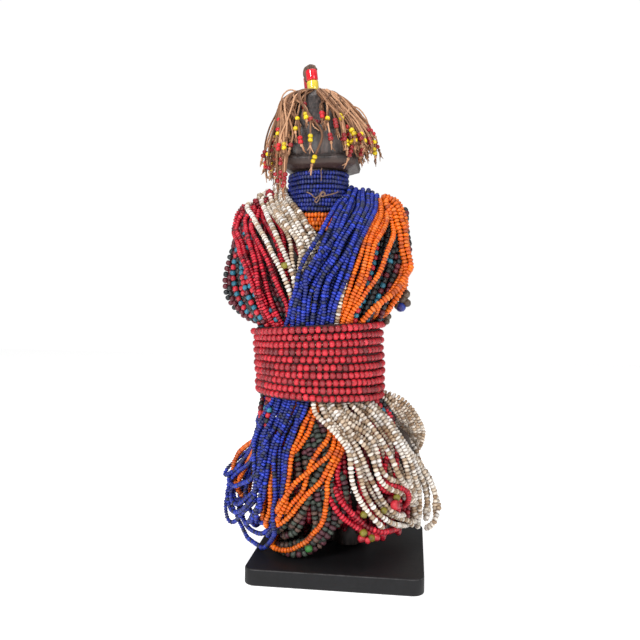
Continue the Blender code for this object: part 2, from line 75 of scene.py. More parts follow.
# The camera, solved from the base's edges and the belt's rows
CAMERA_PLACE = Vector((0.0425, -0.451, 0.1615))
CAMERA_TURN = math.radians(7.33)
CAMERA_ROLL = math.radians(0.9)
FOCAL_PIXELS = 726.0
PICTURE = 640.0
HORIZON = 300.0
SENSOR = 36.0

LOOK = Vector((-math.sin(CAMERA_TURN), math.cos(CAMERA_TURN), 0.0))
LEVEL_RIGHT = Vector((math.cos(CAMERA_TURN), math.sin(CAMERA_TURN), 0.0))
LEVEL_UP = LEVEL_RIGHT.cross(LOOK)
RIGHT = LEVEL_RIGHT * math.cos(CAMERA_ROLL) + LEVEL_UP * math.sin(CAMERA_ROLL)
UP = LEVEL_UP * math.cos(CAMERA_ROLL) - LEVEL_RIGHT * math.sin(CAMERA_ROLL)

# The picture's point straight ahead of the camera
RISE = PICTURE / 2 - HORIZON
MIDDLE_X = PICTURE / 2 + RISE * math.sin(CAMERA_ROLL)
MIDDLE_Y = PICTURE / 2 - RISE * math.cos(CAMERA_ROLL)

# Fixed seeds, so that each run gives the same beads
chance = random.Random(7)
dice = np.random.default_rng(11)
noise.seed_set(5)


def blend(low, high, share):
    """A value part way between two."""
    return low + (high - low) * share


# Surfaces that strands and cords lie on, as rows of
# (height, half depth, half width, middle, topness) in the figure's frame

DRAPE = np.array([
    (0.0110, 0.0480, 0.0640, 0.0075, 0.0),
    (0.0270, 0.0520, 0.0680, 0.0070, 0.0),
    (0.0480, 0.0520, 0.0660, 0.0065, 0.0),
    (0.0690, 0.0480, 0.0570, 0.0060, 0.0),
    (0.0890, 0.0400, 0.0400, 0.0010, 0.0),
    (0.0940, 0.0372, 0.0372, 0.0000, 0.0),
    (0.1381, 0.0372, 0.0372, 0.0000, 0.0),
    (0.1480, 0.0405, 0.0530, 0.0000, 0.0),
    (0.1640, 0.0420, 0.0595, 0.0000, 0.0),
    (0.1830, 0.0390, 0.0580, 0.0000, 0.0),
    (0.2000, 0.0310, 0.0540, 0.0000, 0.3),
    (0.2130, 0.0180, 0.0530, 0.0000, 0.7),
    (0.2235, 0.0000, 0.0530, 0.0000, 1.0),
])
HAIR = np.array([
    (0.2380, 0.0315, 0.0305, -0.0030, 0.0),
    (0.2463, 0.0325, 0.0340, 0.0008, 0.0),
    (0.2552, 0.0305, 0.0330, 0.0022, 0.0),
    (0.2590, 0.0290, 0.0306, 0.0012, 0.0),
    (0.2660, 0.0262, 0.0262, -0.0004, 0.0),
    (0.2749, 0.0225, 0.0214, -0.0028, 0.0),
    (0.2795, 0.0185, 0.0172, -0.0038, 0.2),
    (0.2832, 0.0120, 0.0110, -0.0028, 0.6),
    (0.2850, 0.0000, 0.0060, -0.0020, 1.0),
])
DROP_START = 0.024
DROP_RATE = 0.52
# How high the outermost strands run over the shoulders, at places from the picture's left to its right
SHOULDER_X = (-0.0470, -0.0429, -0.0386, -0.0343, -0.0267, -0.0200,
              0.0160, 0.0245, 0.0330, 0.0364, 0.0424, 0.0484)
SHOULDER_Z = (0.2040, 0.2085, 0.2120, 0.2180, 0.2215, 0.2225,
              0.2200, 0.2210, 0.2214, 0.2150, 0.2090, 0.2045)
# How a surface that is raised by out swells: upwards, and forwards where it turns into its top
RISE_WITH_OUT = 0.6
TOP_SWELL = 0.5
OUTERMOST_SHARE = 0.985
# How a pixel is carried to a surface: where the search starts, its rounds and its step
FIRST_DISTANCE = 0.43
PIN_ROUNDS = 10
PIN_STEP = 0.9


def level_at(surface, x, z):
    """Half depth, half width, middle and topness of a surface at a place."""
    drop = max(0.0, abs(x) - DROP_START) * DROP_RATE if surface is DRAPE else 0.0
    heights = surface[:, 0] - drop * surface[:, 4]
    return [float(np.interp(z, heights, surface[:, column])) for column in (1, 2, 3, 4)]


def surface_y(surface, x, z, out):
    """How far in front of the axis a surface is at a place, raised by out."""
    deep, wide, middle, topness = level_at(surface, x, z - out * RISE_WITH_OUT)
    deep = deep + out * (1.0 - topness * TOP_SWELL)
    wide = wide + out
    share = max(-OUTERMOST_SHARE, min(OUTERMOST_SHARE, (x - middle) / wide))
    return deep * math.sqrt(1.0 - share * share)


def pixel_point(px, py, distance):
    """The world point at a pixel of the picture, at a distance along the camera's look."""
    across = (px - MIDDLE_X) / FOCAL_PIXELS
    down = (py - MIDDLE_Y) / FOCAL_PIXELS
    return CAMERA_PLACE + (LOOK + RIGHT * across - UP * down) * distance


def pin(px, py, out=0.0, side=-1.0, surface=DRAPE):
    """The place in the figure's frame that a pixel shows; side -1 is the front, 0 the middle, 1 the back."""
    distance = FIRST_DISTANCE
    for _ in range(PIN_ROUNDS):
        spot = TO_FIGURE @ pixel_point(px, py, distance)
        wanted = side * surface_y(surface, spot.x, spot.z, out)
        distance += (wanted - spot.y) * PIN_STEP
    return TO_FIGURE @ pixel_point(px, py, distance)


CURVE_STEPS = 24


def smooth_path(points, step=0.0006):
    """A smooth curve through points, as evenly spaced rows of numbers."""
    spots = np.array([tuple(point) for point in points], dtype=float)
    gaps = np.sqrt(np.linalg.norm(np.diff(spots, axis=0), axis=1)) + 1e-6
    before = 2 * spots[0] - spots[1]
    after = 2 * spots[-1] - spots[-2]
    spots = np.vstack([before, spots, after])
    gaps = np.concatenate([[gaps[0]], gaps, [gaps[-1]]])
    dense = []
    for index in range(1, len(spots) - 2):
        p0, p1, p2, p3 = spots[index - 1:index + 3]
        g0, g1, g2 = gaps[index - 1:index + 2]
        t1 = (p1 - p0) / g0 - (p2 - p0) / (g0 + g1) + (p2 - p1) / g1
        t2 = (p2 - p1) / g1 - (p3 - p1) / (g1 + g2) + (p3 - p2) / g2
        run = np.linspace(0.0, 1.0, CURVE_STEPS, endpoint=False)[:, None]
        cube = run ** 3
        square = run ** 2
        dense.append(
            (2 * cube - 3 * square + 1) * p1 + (cube - 2 * square + run) * g1 * t1
            + (-2 * cube + 3 * square) * p2 + (cube - square) * g1 * t2
        )
    dense.append(spots[-2][None, :])
    dense = np.vstack(dense)
    lengths = np.concatenate([[0.0], np.cumsum(np.linalg.norm(np.diff(dense, axis=0), axis=1))])
    count = max(2, int(lengths[-1] / step))
    places = np.linspace(0.0, lengths[-1], count)
    return np.stack([np.interp(places, lengths, dense[:, axis]) for axis in range(3)], axis=1)


# Kinds of bead: radius, length, spread of the length, spread of the radius

KINDS = {
    "blue": (0.00160, 0.00182, 0.14, 0.06),
    "blue_small": (0.00148, 0.00175, 0.14, 0.06),
    "orange": (0.00170, 0.00195, 0.12, 0.07),
    "orange_large": (0.00205, 0.00225, 0.10, 0.06),
    "cream": (0.00172, 0.00225, 0.22, 0.10),
    "cream_small": (0.00152, 0.00190, 0.18, 0.09),
    "red": (0.00157, 0.00182, 0.14, 0.07),
    "red_large": (0.00178, 0.00205, 0.14, 0.07),
    "red_under": (0.00175, 0.00300, 0.14, 0.07),
    "mixed": (0.00182, 0.00345, 0.08, 0.08),
    "dark": (0.00228, 0.00300, 0.22, 0.10),
}


class Strand:
    """One string of beads along a path, before and after it is settled."""

    def __init__(self, piece, kind, path, tones=None):
        radius, length, spread, uneven = KINDS[kind]
        walked = np.concatenate([[0.0], np.cumsum(np.linalg.norm(np.diff(path, axis=0), axis=1))])
        lengths = []
        total = 0.0
        while total < walked[-1]:
            lengths.append(length * (1.0 + spread * dice.uniform(-1.0, 1.0)))
            total += lengths[-1]
        self.piece = piece
        self.kind = kind
        self.lengths = np.array(lengths)
        places = np.cumsum(self.lengths) - self.lengths / 2
        self.spots = np.stack([np.interp(places, walked, path[:, axis]) for axis in range(3)], axis=1)
        self.radii = radius * (1.0 + uneven * dice.uniform(-1.0, 1.0, len(lengths)))
        self.tones = dice.random(len(lengths)) if tones is None else tones(len(lengths))


strands = []
BEHIND_BELT = 0.0020
BACK_CHANGE = 0.0022
SUMMIT_SINK = 0.8
# The turn under the hip: how near the side a loop needs none, its lowest point and its uneven place
AT_SIDE = 0.004
LOOP_LOWEST = 0.0050
TURN_SPREAD = 0.018
TURN_DEPTH = 0.45
TURN_DROP = 0.8


def add_strand(piece, kind, points, tones=None):
    """Adds a strand of one kind of bead to a piece, along a curve through points."""
    strands.append(Strand(piece, kind, smooth_path(points), tones))


def wobble(spot, amount, seed):
    """A small smooth change of place, different for each strand."""
    at = Vector(spot) * 55.0 + Vector((seed * 7.13, seed * 3.71, seed * 1.37))
    shift = Vector(noise.noise_vector(at))
    return Vector(spot) + shift * amount


def under_belt(spot, low_side, inset):
    """A place hidden behind the belt, straight above or below a strand's end."""
    radius = BELT_INNER - BEHIND_BELT - inset
    flat = Vector((spot[0], spot[1], 0.0))
    size = flat.length or 1.0
    level = BELT_LOW + HIDDEN_END if low_side else BELT_TOP - HIDDEN_END
    return Vector((flat.x / size * radius, flat.y / size * radius, level))


def mirrored(points, seed):
    """The same run of points at the back, with a little change."""
    return [wobble(Vector((point[0], -point[1], point[2])), BACK_CHANGE, seed) for point in points]


def pinned(pixels, layer):
    """Places for a run of pixels; layer is one depth, or the depths of the first and the last."""
    first, last = layer if isinstance(layer, tuple) else (layer, layer)
    spots = []
    for index, pixel in enumerate(pixels):
        deep = blend(first, last, index / (len(pixels) - 1))
        side = pixel[2] if len(pixel) > 2 else -1.0
        deep = pixel[3] if len(pixel) > 3 else deep
        spots.append(pin(pixel[0], pixel[1], -STRAND / 2 - deep * LAYER, side))
    return spots, first, last


def chest_strand(piece, kind, pixels, layer=0.0, tones=None):
    """A strand from under the belt's front, over the shoulder and down to under the belt's back."""
    seed = len(strands) + 1
    front, first, last = pinned(pixels, layer)
    top = front[0]
    summit = float(np.interp(top.x, SHOULDER_X, SHOULDER_Z)) - first * LAYER * SUMMIT_SINK
    middle = Vector((top.x * 1.02, 0.0, summit))
    inset = last * LAYER
    back = mirrored(front, seed)
    start = under_belt(front[-1], False, inset)
    end = under_belt(back[-1], False, inset)
    add_strand(piece, kind, [start] + front[::-1] + [middle] + back + [end], tones)


def whole_loop(piece, kind, pixels, layer=0.0, tones=None):
    """A loop whose points run all the way from under the belt's front to under its back."""
    spots, first, last = pinned(pixels, layer)
    route = [under_belt(spots[0], True, first * LAYER)] + spots + [under_belt(spots[-1], True, last * LAYER)]
    add_strand(piece, kind, route, tones)


def hip_turn(last, seed, sag):
    """The points where a loop turns to the back under the hip; none if it ends at the side already."""
    if last.y >= -AT_SIDE:
        return []
    low = max(LOOP_LOWEST, last.z - sag * abs(last.y))
    near = blend(last.z, low, TURN_DROP)
    turn = TURN_SPREAD * noise.noise(Vector((seed * 3.3, 0.4, 0.9)))
    return [
        Vector((last.x * 1.02, last.y * TURN_DEPTH + turn, near)),
        Vector((last.x * 1.03, turn, low)),
        Vector((last.x * 1.02, -last.y * TURN_DEPTH + turn, near)),
    ]


def skirt_strand(piece, kind, pixels, layer=0.0, tones=None, sag=0.25):
    """A loop from under the belt's front, round under the hip and up to under the belt's back."""
    seed = len(strands) + 1
    front, first_layer, _ = pinned(pixels, layer)
    back = mirrored(front, seed)[::-1]
    inset = first_layer * LAYER
    start = under_belt(front[0], True, inset)
    end = under_belt(back[-1], True, inset)
    add_strand(piece, kind, [start] + front + hip_turn(front[-1], seed, sag) + back + [end], tones)


def between(first, second, share, count=9, sway=0.0, seed=0.0):
    """A route part way between two routes, swaying to its neighbours and back."""
    one = smooth_path([(pixel[0], pixel[1], 0.0) for pixel in first], 1.0)
    two = smooth_path([(pixel[0], pixel[1], 0.0) for pixel in second], 1.0)
    route = []
    for index in range(count):
        place = index / (count - 1)
        first_spot = one[int(place * (len(one) - 1))]
        second_spot = two[int(place * (len(two) - 1))]
        fade = math.sin(math.pi * (0.15 + 0.85 * place))
        drift = sway * noise.noise(Vector((place * 2.6, seed * 5.3, 0.7))) * fade
        spot = blend(first_spot, second_spot, share + drift)
        route.append((float(spot[0]), float(spot[1])))
    return route


def sunk(depths, route):
    """A route whose first points lie at the front at depths of their own."""
    return [(px, py, -1.0, deep) for (px, py), deep in zip(route, depths)] + route[len(depths):]


def side_between(first, second, share):
    """A run of pixels part way between two that have as many points, sides included."""
    return [tuple(blend(a, b, share) for a, b in zip(one, two)) for one, two in zip(first, second)]


def up_to(limit):
    """Tones from the dark end of a colour ramp."""
    def tones(count):
        return limit * dice.random(count)
    return tones


# Dark tones for strands that lie under others: painted shade.
SHADED_DARKEST = up_to(0.22)
SHADED_MIDDLE = up_to(0.5)
SHADED_CREAM = up_to(0.55)


def alternating(first, second, jitter=0.02):
    """Tones that swap between two colours, bead by bead."""
    def tones(count):
        values = np.where(np.arange(count) % 2 == 0, first, second)
        return values + jitter * dice.uniform(-1.0, 1.0, count)
    return tones


def picked(*choices):
    """Tones drawn from a few colours."""
    def tones(count):
        return dice.choice(np.array(choices), count) + 0.02 * dice.uniform(-1.0, 1.0, count)
    return tones


# Tones of the mixed and the dark beads: places on their colour ramps
MIX_RED = 0.08
MIX_TEAL = 0.25
MIX_BLACK = 0.42
MIX_MAROON = 0.58
MIX_OLIVE = 0.70
MIX_GREEN = 0.80
MIX_NAVY = 0.90
MIX_BROWN = 0.97
DARK_TONES = (0.1, 0.3, 0.5, 0.7, 0.9)

# Routes of strands over the chest, in pixels of the picture, from the shoulder down to the belt

BLUE_LEFT_EDGE = [(343.4, 196.5), (337.7, 206.8), (331.3, 219.4), (323.3, 236.7), (312.4, 256.7),
                  (304.4, 268.2), (297, 280), (291, 300), (288, 326)]
BLUE_RIGHT_EDGE = [(374, 195.2), (376.8, 204.3), (371.7, 215.8), (361.3, 235.9), (351.6, 258.9),
                   (343.2, 282), (336.9, 304), (331, 326)]
BLUE_STRANDS = 10
BLUE_DEPTHS = ((0.1, 0.25), (-0.1, -0.1), (0.1, 0.35), (-0.1, -0.2), (0.1, 0.3), (0.0, -0.05), (0.1, 0.4),
               (-0.05, -0.15), (0.1, 0.3), (0.0, 0.0))
BLUE_UNDER = 7
ORANGE_DEPTHS = (-0.15, (0.1, 0.35), (0.0, 0.1), (0.0, 0.2), (0.2, 0.75), (-0.1, 0.15), (0.1, 0.5),
                 (0.3, 0.9))
ORANGE_LARGE = (0, 1)
CREAM_DEPTHS = ((0.1, 0.5), (0.0, 0.9), (0.15, 1.4), (0.3, 1.7), (0.1, 1.9), (0.2, 2.0), (0.7, 1.2),
                (0.9, 1.6), (0.8, 2.1), (1.3, 2.2), (1.4, 2.2))
CREAM_DEEP = 0.5
CREAM_STUB_DEPTHS = (2.2, -0.3)
RED_DEPTHS = (0.1, 0.5, 0.2, 0.4, 0.7, 1.6, 1.8)
UNDER_STRANDS = 4

ORANGE_CHEST = [
    [(381, 204), (388.0, 205), (394, 212), (399, 223), (404.5, 247.4), (407.6, 262), (405, 276),
     (395, 290.8), (384.5, 300), (370, 311), (360, 326)],
    [(382, 205), (389, 210), (394, 219), (399, 236), (402.5, 254), (405, 272), (403, 286.7),
     (391.4, 305.7), (383, 317), (378, 326)],
    [(384.9, 203), (388.9, 210.7), (392.9, 224.4), (394, 232.5), (387.7, 250.3), (378.8, 274),
     (363.9, 294.8), (351.2, 310.3), (345, 326)],
    [(380.3, 204), (380.3, 213), (375, 227.3), (370, 240.5), (367.6, 254.3), (363.9, 267.2), (361, 280.4),
     (355.8, 291.3), (349, 307.4), (341, 326)],
    [(386, 208), (385.4, 217.6), (379, 229), (371, 245), (366, 262), (358, 283), (350, 302), (342, 326)],
    [(388, 212), (384.3, 227.9), (375, 242.8), (371, 256), (368, 270), (362, 285), (354, 304),
     (350, 326)],
    [(378, 212), (372.2, 223.3), (365.9, 235.9), (361.3, 253), (355, 270), (349, 289), (341.5, 313),
     (337, 326)],
    [(386, 202), (399, 219), (404, 240), (404, 262), (399, 279), (389, 293), (378, 306), (370, 326)],
]
CREAM_STUB = [(368, 200), (360, 236), (351, 262), (344, 288), (338.8, 312), (337.8, 327)]

CREAM_CHEST = [
    [(252.3, 206.8), (251.7, 213.7), (258.6, 227.5), (266, 240), (271.8, 252.7), (278.7, 265.4),
     (283.9, 277), (288, 287), (293, 299), (299, 326)],
    [(265, 193.6), (263.8, 201.6), (267.8, 217), (274, 230.3), (282.2, 248.7), (288, 262), (296, 284),
     (304, 326)],
    [(269, 191), (273, 202), (276.4, 213.7), (283.9, 224), (293, 233.2), (300.5, 243), (307, 262),
     (311, 326)],
    [(275.8, 187.9), (280.4, 198.2), (284.5, 209), (288.5, 217), (296, 232), (304, 250), (314, 285),
     (318, 326)],
    [(282, 190), (287.9, 204), (290.2, 211.4), (298, 226), (308, 244), (318, 270), (325, 326)],
    [(287, 191), (292, 199.3), (297.7, 209.7), (303, 219), (312, 234), (322, 254), (330, 290),
     (333, 326)],
    [(262, 196), (268, 208), (277, 219), (285.6, 229.8), (290.2, 242.4), (292, 260.8), (293.6, 270),
     (297, 290), (301, 326)],
    [(272, 192), (279, 208), (289, 225), (298.2, 241.2), (301, 252), (299, 266.5), (300, 290),
     (306, 326)],
    [(285, 194), (294, 208), (302, 220.6), (310, 228), (317, 240), (327, 262), (334, 290), (338, 326)],
    [(279, 192), (290, 212), (302, 229), (310, 241.2), (314, 252), (316, 280), (315, 326)],
    [(276, 194), (288, 218), (302, 240), (308.4, 248), (307.2, 256), (303, 272), (304, 326)],
]

RED_CHEST = [
    [(250, 209), (240.3, 219.4), (237.4, 228), (238, 240), (241, 256), (247, 270), (254, 288), (262, 308),
     (268, 326)],
    [(251, 212), (243.7, 219), (240.3, 231), (242.6, 244), (245.4, 255.6), (250.6, 267.7), (257, 285),
     (266, 308), (273, 326)],
    [(254, 211), (246.6, 218.3), (248.3, 238.4), (255.2, 263), (258, 287), (262.5, 303), (270, 316),
     (277, 326)],
    [(256, 211), (251.7, 228.6), (258.6, 243), (267.2, 259.6), (275, 280), (284, 299), (288.5, 309),
     (289, 326)],
    [(258, 212), (253, 226), (254.6, 240), (258.6, 253.9), (263.8, 274.5), (269.5, 297), (276, 313),
     (283, 326)],
    [(258, 204), (262, 217), (270, 230.3), (276, 242), (281, 256), (287, 276), (291, 298), (296, 326)],
    [(260, 203), (270, 215), (281, 228.6), (284, 244), (285, 262), (288, 282), (292, 304), (294, 326)],
]

# How deep these run where they go in behind the red hank
BEHIND_RED = (3.0, 2.8, 2.2)
MIXED_LEFT_CHEST = [sunk(BEHIND_RED, route) for route in (
    [(260, 216), (253, 228), (246, 242), (237, 258), (229, 272), (226, 288), (231, 303), (239, 313),
     (252, 326)],
    [(262, 216), (256, 230), (249, 245), (239, 260), (235, 273), (235, 288), (240, 302), (249, 314),
     (260, 327)],
    [(260, 218), (255, 233), (249, 248), (241.5, 262), (242, 276), (247, 293), (254, 308), (262, 319),
     (268, 328)],
    [(261, 218), (256, 233), (251, 248), (246, 262), (246, 275), (252, 289), (258, 299.5), (266.6, 309),
     (273.8, 320), (278, 328)],
    [(258, 217), (251, 232), (243, 248), (235, 262), (228, 278), (228, 293), (234, 305), (242, 315),
     (256, 326)],
    [(263, 216), (257, 234), (249, 250), (241, 266), (240, 282), (246, 299), (254, 311), (264, 321),
     (270, 328)],
)]

MIXED_RIGHT_CHEST = [
    [(392, 206), (384, 226), (377, 244), (374, 262), (369, 277.8), (362, 298), (355, 316), (352, 326)],
    [(396, 208), (397, 226), (394.6, 241.7), (391, 261), (384, 282), (375, 302), (368, 316), (365, 326)],
    [(390, 212), (396, 228), (400, 243), (399, 254), (396, 266), (392, 280), (387, 298), (382, 312),
     (377, 326)],
    [(391, 212), (398, 228), (403, 241), (404, 254), (402, 270), (398, 285), (392, 300), (386, 314),
     (382, 326)],
    [(392, 212), (390, 224), (387.8, 238), (384, 256), (379, 275), (371, 298), (365, 314), (360, 326)],
]


MIXED_LEFT_TONES = (picked(MIX_MAROON, MIX_BLACK, MIX_MAROON), alternating(MIX_RED, MIX_TEAL),
                    picked(MIX_RED, MIX_TEAL, MIX_MAROON), alternating(MIX_TEAL, MIX_RED),
                    picked(MIX_BLACK, MIX_MAROON), picked(MIX_RED, MIX_BLACK))
MIXED_RIGHT_TONES = (alternating(MIX_RED, MIX_TEAL), picked(MIX_MAROON, MIX_BLACK, MIX_TEAL),
                     picked(MIX_BLACK, MIX_MAROON), picked(MIX_BLACK, MIX_TEAL, MIX_MAROON),
                     picked(MIX_BLACK))

# Strands that fill the hanks from below: piece, kind, the two routes they lie between, seed,
# depth at the shoulder, depth at the belt and what every other one adds to it, tones
CHEST_UNDER = (
    # The red strands under the hanks take dark tones of painted shade.
    ("red_strands_upper", "red", RED_CHEST[1], CREAM_CHEST[3], 20, 2.4, 1.9, 0.4, SHADED_DARKEST),
    ("mixed_strands_right", "mixed", ORANGE_CHEST[6], ORANGE_CHEST[0], 30, 2.8, 1.7, 0.5,
     picked(MIX_BLACK, MIX_MAROON, MIX_BLACK)),
    ("mixed_strands_right", "mixed", ORANGE_CHEST[2], MIXED_RIGHT_CHEST[3], 40, 2.6, 1.4, 0.4,
     picked(MIX_BLACK, MIX_MAROON, MIX_BLACK, MIX_TEAL)),
    ("mixed_strands_left", "mixed", RED_CHEST[2], RED_CHEST[3], 50, 3.4, 1.5, 0.4,
     picked(MIX_BLACK, MIX_MAROON, MIX_MAROON)),
)


def blue_and_orange_chest():
    """The hanks that come from the shoulder at the picture's right."""
    for index in range(BLUE_STRANDS):
        share = index / (BLUE_STRANDS - 1)
        route = between(BLUE_LEFT_EDGE, BLUE_RIGHT_EDGE, share, 11, 0.34, index)
        chest_strand("blue_strands_upper", "blue", route, BLUE_DEPTHS[index])
    for index in range(BLUE_UNDER):
        share = (index + 0.7) / (BLUE_UNDER + 0.4)
        route = between(BLUE_LEFT_EDGE, BLUE_RIGHT_EDGE, share, 9, 0.2, index + 12)
        # Blue strands under the others take darker tones: painted shade.
        chest_strand("blue_strands_upper", "blue", route, (0.55, 1.1 + 0.2 * (index % 2)), SHADED_MIDDLE)
    for index, route in enumerate(ORANGE_CHEST):
        kind = "orange_large" if index in ORANGE_LARGE else "orange"
        chest_strand("orange_strands_upper", kind, route, ORANGE_DEPTHS[index])


def cream_and_red_chest():
    """The hanks that come from the shoulder at the picture's left."""
    for route, layer in zip(CREAM_CHEST, CREAM_DEPTHS):
        # Cream strands that start deep take darker tones: painted shade.
        if layer[0] > CREAM_DEEP:
            chest_strand("cream_strands_upper", "cream_small", route, layer, SHADED_CREAM)
        else:
            chest_strand("cream_strands_upper", "cream", route, layer)
    chest_strand("cream_strands_upper", "cream", CREAM_STUB, CREAM_STUB_DEPTHS)
    for route, layer in zip(RED_CHEST, RED_DEPTHS):
        chest_strand("red_strands_upper", "red", route, layer)


def under_chest():
    """The strands that fill the hanks from below."""
    for index in range(UNDER_STRANDS):
        share = (index + 0.5) / UNDER_STRANDS
        for piece, kind, first, second, seed, top, low, more, tones in CHEST_UNDER:
            route = between(first, second, share, 8, 0.15, index + seed)
            chest_strand(piece, kind, route, (top, low + more * (index % 2)), tones)


def mixed_chest():
    """The hanks of round beads over the arms."""
    for index, route in enumerate(MIXED_LEFT_CHEST):
        chest_strand("mixed_strands_left", "mixed", route, (1.7, 0.3 * (index % 2)), MIXED_LEFT_TONES[index])
    for index in range(3):
        share = 0.25 + 0.25 * index
        route = between(MIXED_LEFT_CHEST[0], MIXED_LEFT_CHEST[3], share, 8, 0.1, index + 70)
        chest_strand("mixed_strands_left", "mixed", route, (2.4, 1.5), picked(MIX_BLACK, MIX_MAROON))
    for index, route in enumerate(MIXED_RIGHT_CHEST):
        layer = (1.8, 0.7 + 0.4 * (index % 2))
        chest_strand("mixed_strands_right", "mixed", route, layer, MIXED_RIGHT_TONES[index])


def make_chest():
    """The crossed hanks over the chest; the first added lie outermost."""
    blue_and_orange_chest()
    cream_and_red_chest()
    under_chest()
    mixed_chest()


# Routes of the skirt's strands, from the belt down to where each loop turns to the back;
# a third number says how far round from the front (-1) to the side (0) or back (1) a point is,
# and a fourth how deep it lies, in layers of strands

BLUE_SKIRT = [
    [(287, 400), (282, 412), (277.3, 424), (267, 440.5), (264, 461), (262.7, 472), (261, 490),
     (261.2, 501.9), (257.8, 511.9), (252, 520)],
    [(306, 402), (303, 411), (294.2, 428), (289, 442), (284.7, 452.2), (284.6, 478.4), (281.9, 498.5),
     (277.2, 522), (268, 534)],
    [(293, 402), (287, 418), (276, 440), (269.3, 461), (266.3, 472), (263, 492), (261.2, 501.9),
     (257.8, 511.9), (255.8, 518.6)],
]

# Loops at the picture's left, traced all the way round the hip
BLUE_LOOPS = [
    [(290, 401), (284, 415.5), (278, 436), (273.7, 449.3), (274.6, 481.8), (275.9, 508.6), (274.6, 532),
     (267.2, 545.4, -0.9), (258, 548.5, -0.7), (249.8, 541.4, -0.5), (242.4, 527.3, -0.25),
     (236, 514, 0.0), (231, 500, 0.2), (231, 482, 0.4), (240, 464, 0.7), (254, 448, 1.0), (262, 424, 1.0),
     (272, 402, 1.0)],
    [(276, 401), (266.3, 420), (257.5, 433), (254.6, 442), (253.9, 452), (255.3, 472), (256, 486),
     (254.5, 498.5), (248.4, 507, -0.8), (240.4, 515, -0.6), (233.7, 522, -0.35), (229.5, 522, -0.15),
     (226.4, 514, 0.0), (226, 500.6, 0.15), (233.3, 486.7, 0.3), (243, 472, 0.6), (255, 450, 1.0),
     (268, 403, 1.0)],
    [(281, 400), (276.6, 409.7), (271.5, 419.2), (263.4, 440.5), (262, 464.7), (259, 483),
     (251.7, 494, -0.85), (243, 500, -0.6), (235, 499.5, -0.3), (232.5, 492, 0.0), (237, 480, 0.3),
     (245, 464, 0.7), (257, 446, 1.0), (266, 405, 1.0)],
    [(273, 404), (264, 418), (256, 434, -0.8), (250.2, 450.7, -0.6), (244.3, 458, -0.45),
     (237, 468.3, -0.25), (229.7, 475, -0.1), (224.6, 475.5, 0.05), (227.5, 468, 0.25), (233, 463, 0.4),
     (242, 455, 0.65), (254, 447, 1.0), (262, 424, 1.0), (268, 404, 1.0)],
    [(275, 403), (267, 419), (259.5, 436, -0.85), (251.7, 459.5, -0.7), (246.5, 465.4, -0.5),
     (237, 472.7, -0.3), (230.5, 478, -0.15), (228.6, 487, 0.0), (231, 494, 0.12), (236, 486, 0.3),
     (243, 468, 0.6), (256, 449, 1.0), (266, 405, 1.0)],
    [(300, 402), (292, 418.5), (286.9, 428), (281, 440.5), (279.5, 462), (278, 490), (276, 515),
     (270, 528), (262.5, 533.5, -0.9), (254, 531.5, -0.75), (247, 526, -0.6), (242, 516, -0.4),
     (240, 502, -0.1), (243, 484, 0.25), (249, 462, 0.55), (257, 438, 0.8), (270, 405, 1.0)],
    [(278, 402), (270, 424), (264.5, 443), (263, 470), (260, 485), (249.5, 495.4, -0.85),
     (237.5, 504.4, -0.6), (232, 499, -0.3), (231.5, 488, 0.0), (241, 470, 0.55), (256, 450, 1.0),
     (266, 405, 1.0)],
    [(284, 402), (275, 424), (267.5, 447.5), (266, 477.4), (260, 500), (252.5, 515, -0.85),
     (246, 523, -0.6), (241, 514, -0.35), (240, 498, 0.0), (244, 478, 0.35), (258, 450, 1.0),
     (268, 405, 1.0)],
    [(274, 402), (266, 424), (261, 441), (258.5, 464), (252.5, 477.4), (242, 483.4, -0.8),
     (232, 485, -0.5), (229, 478, -0.2), (236, 466, 0.4), (255, 450, 1.0), (264, 405, 1.0)],
    [(277, 402), (270, 422), (266, 446), (260, 477.4), (255.5, 494), (245, 507.4, -0.85),
     (234.5, 512, -0.6), (229.5, 507, -0.3), (228.5, 496, 0.0), (237, 474, 0.5), (255, 452, 1.0),
     (264, 405, 1.0)],
    [(304, 402), (298, 420), (291, 438), (286, 456), (284.6, 478.4), (282, 500), (278, 514), (270, 523),
     (262, 522, -0.9), (254, 515, -0.75), (247, 503, -0.5), (246, 488, -0.1), (250, 466, 0.5),
     (262, 420, 1.0)],
]

ORANGE_SKIRT = [
    [(316, 402), (310, 412), (302, 430), (296, 445), (289.8, 458), (288, 476), (284, 500), (276, 520)],
    [(320, 403), (314, 418), (307, 436), (297.9, 447), (289.8, 455.7), (287, 470), (284, 494),
     (278, 512)],
    [(330, 404), (329, 434), (320.5, 450.7), (310.3, 465.4), (305.9, 481.5), (302, 493), (294.6, 500.5),
     (284, 512)],
    [(334, 405), (334.5, 440), (330, 455), (320.6, 462.5), (309.6, 471.3), (294.2, 483.7), (285, 496),
     (278, 512)],
    [(340, 406), (341, 446), (330, 465.4), (322, 480.4), (314, 487.8), (300.7, 501.9), (287.3, 518.6),
     (275, 523)],
    [(338, 405), (341.6, 446), (332, 465), (328, 485), (327.5, 498.5), (325.4, 512), (320.8, 525.3),
     (313.4, 535.4), (302.7, 544.7), (285.3, 550.8), (272.5, 546.7)],
    [(298, 404), (285, 430), (274, 452), (270.7, 472), (270.1, 488), (270.5, 508.6), (267, 523)],
    sunk((1.6, 1.4, 1.2, 1.1, 1.0, 0.9),
         [(292, 404), (280, 430), (269, 455), (264.5, 480), (263.5, 500), (262, 517)]),
]
ORANGE_LOOPS = [
    [(274, 404, -1, 2.0), (266, 424, -1, 2.0), (257, 438, -0.9, 1.2), (246, 446, -0.5, 0.4),
     (238, 454, -0.2, 0.4), (233, 466, 0.0, 0.5), (232, 480, 0.1, 0.5), (238, 492, 0.2, 0.6),
     (247, 480, 0.6, 0.6), (258, 452, 1.0, 0.6), (268, 406, 1.0, 0.6)],
    [(276, 404, -1, 2.0), (267, 426, -1, 1.8), (256, 446, -0.8, 0.8), (246, 466, -0.4), (238, 484, -0.2),
     (240, 496, -0.05), (247, 498, 0.2), (251, 480, 0.5), (258, 452, 1.0), (270, 406, 1.0)],
]

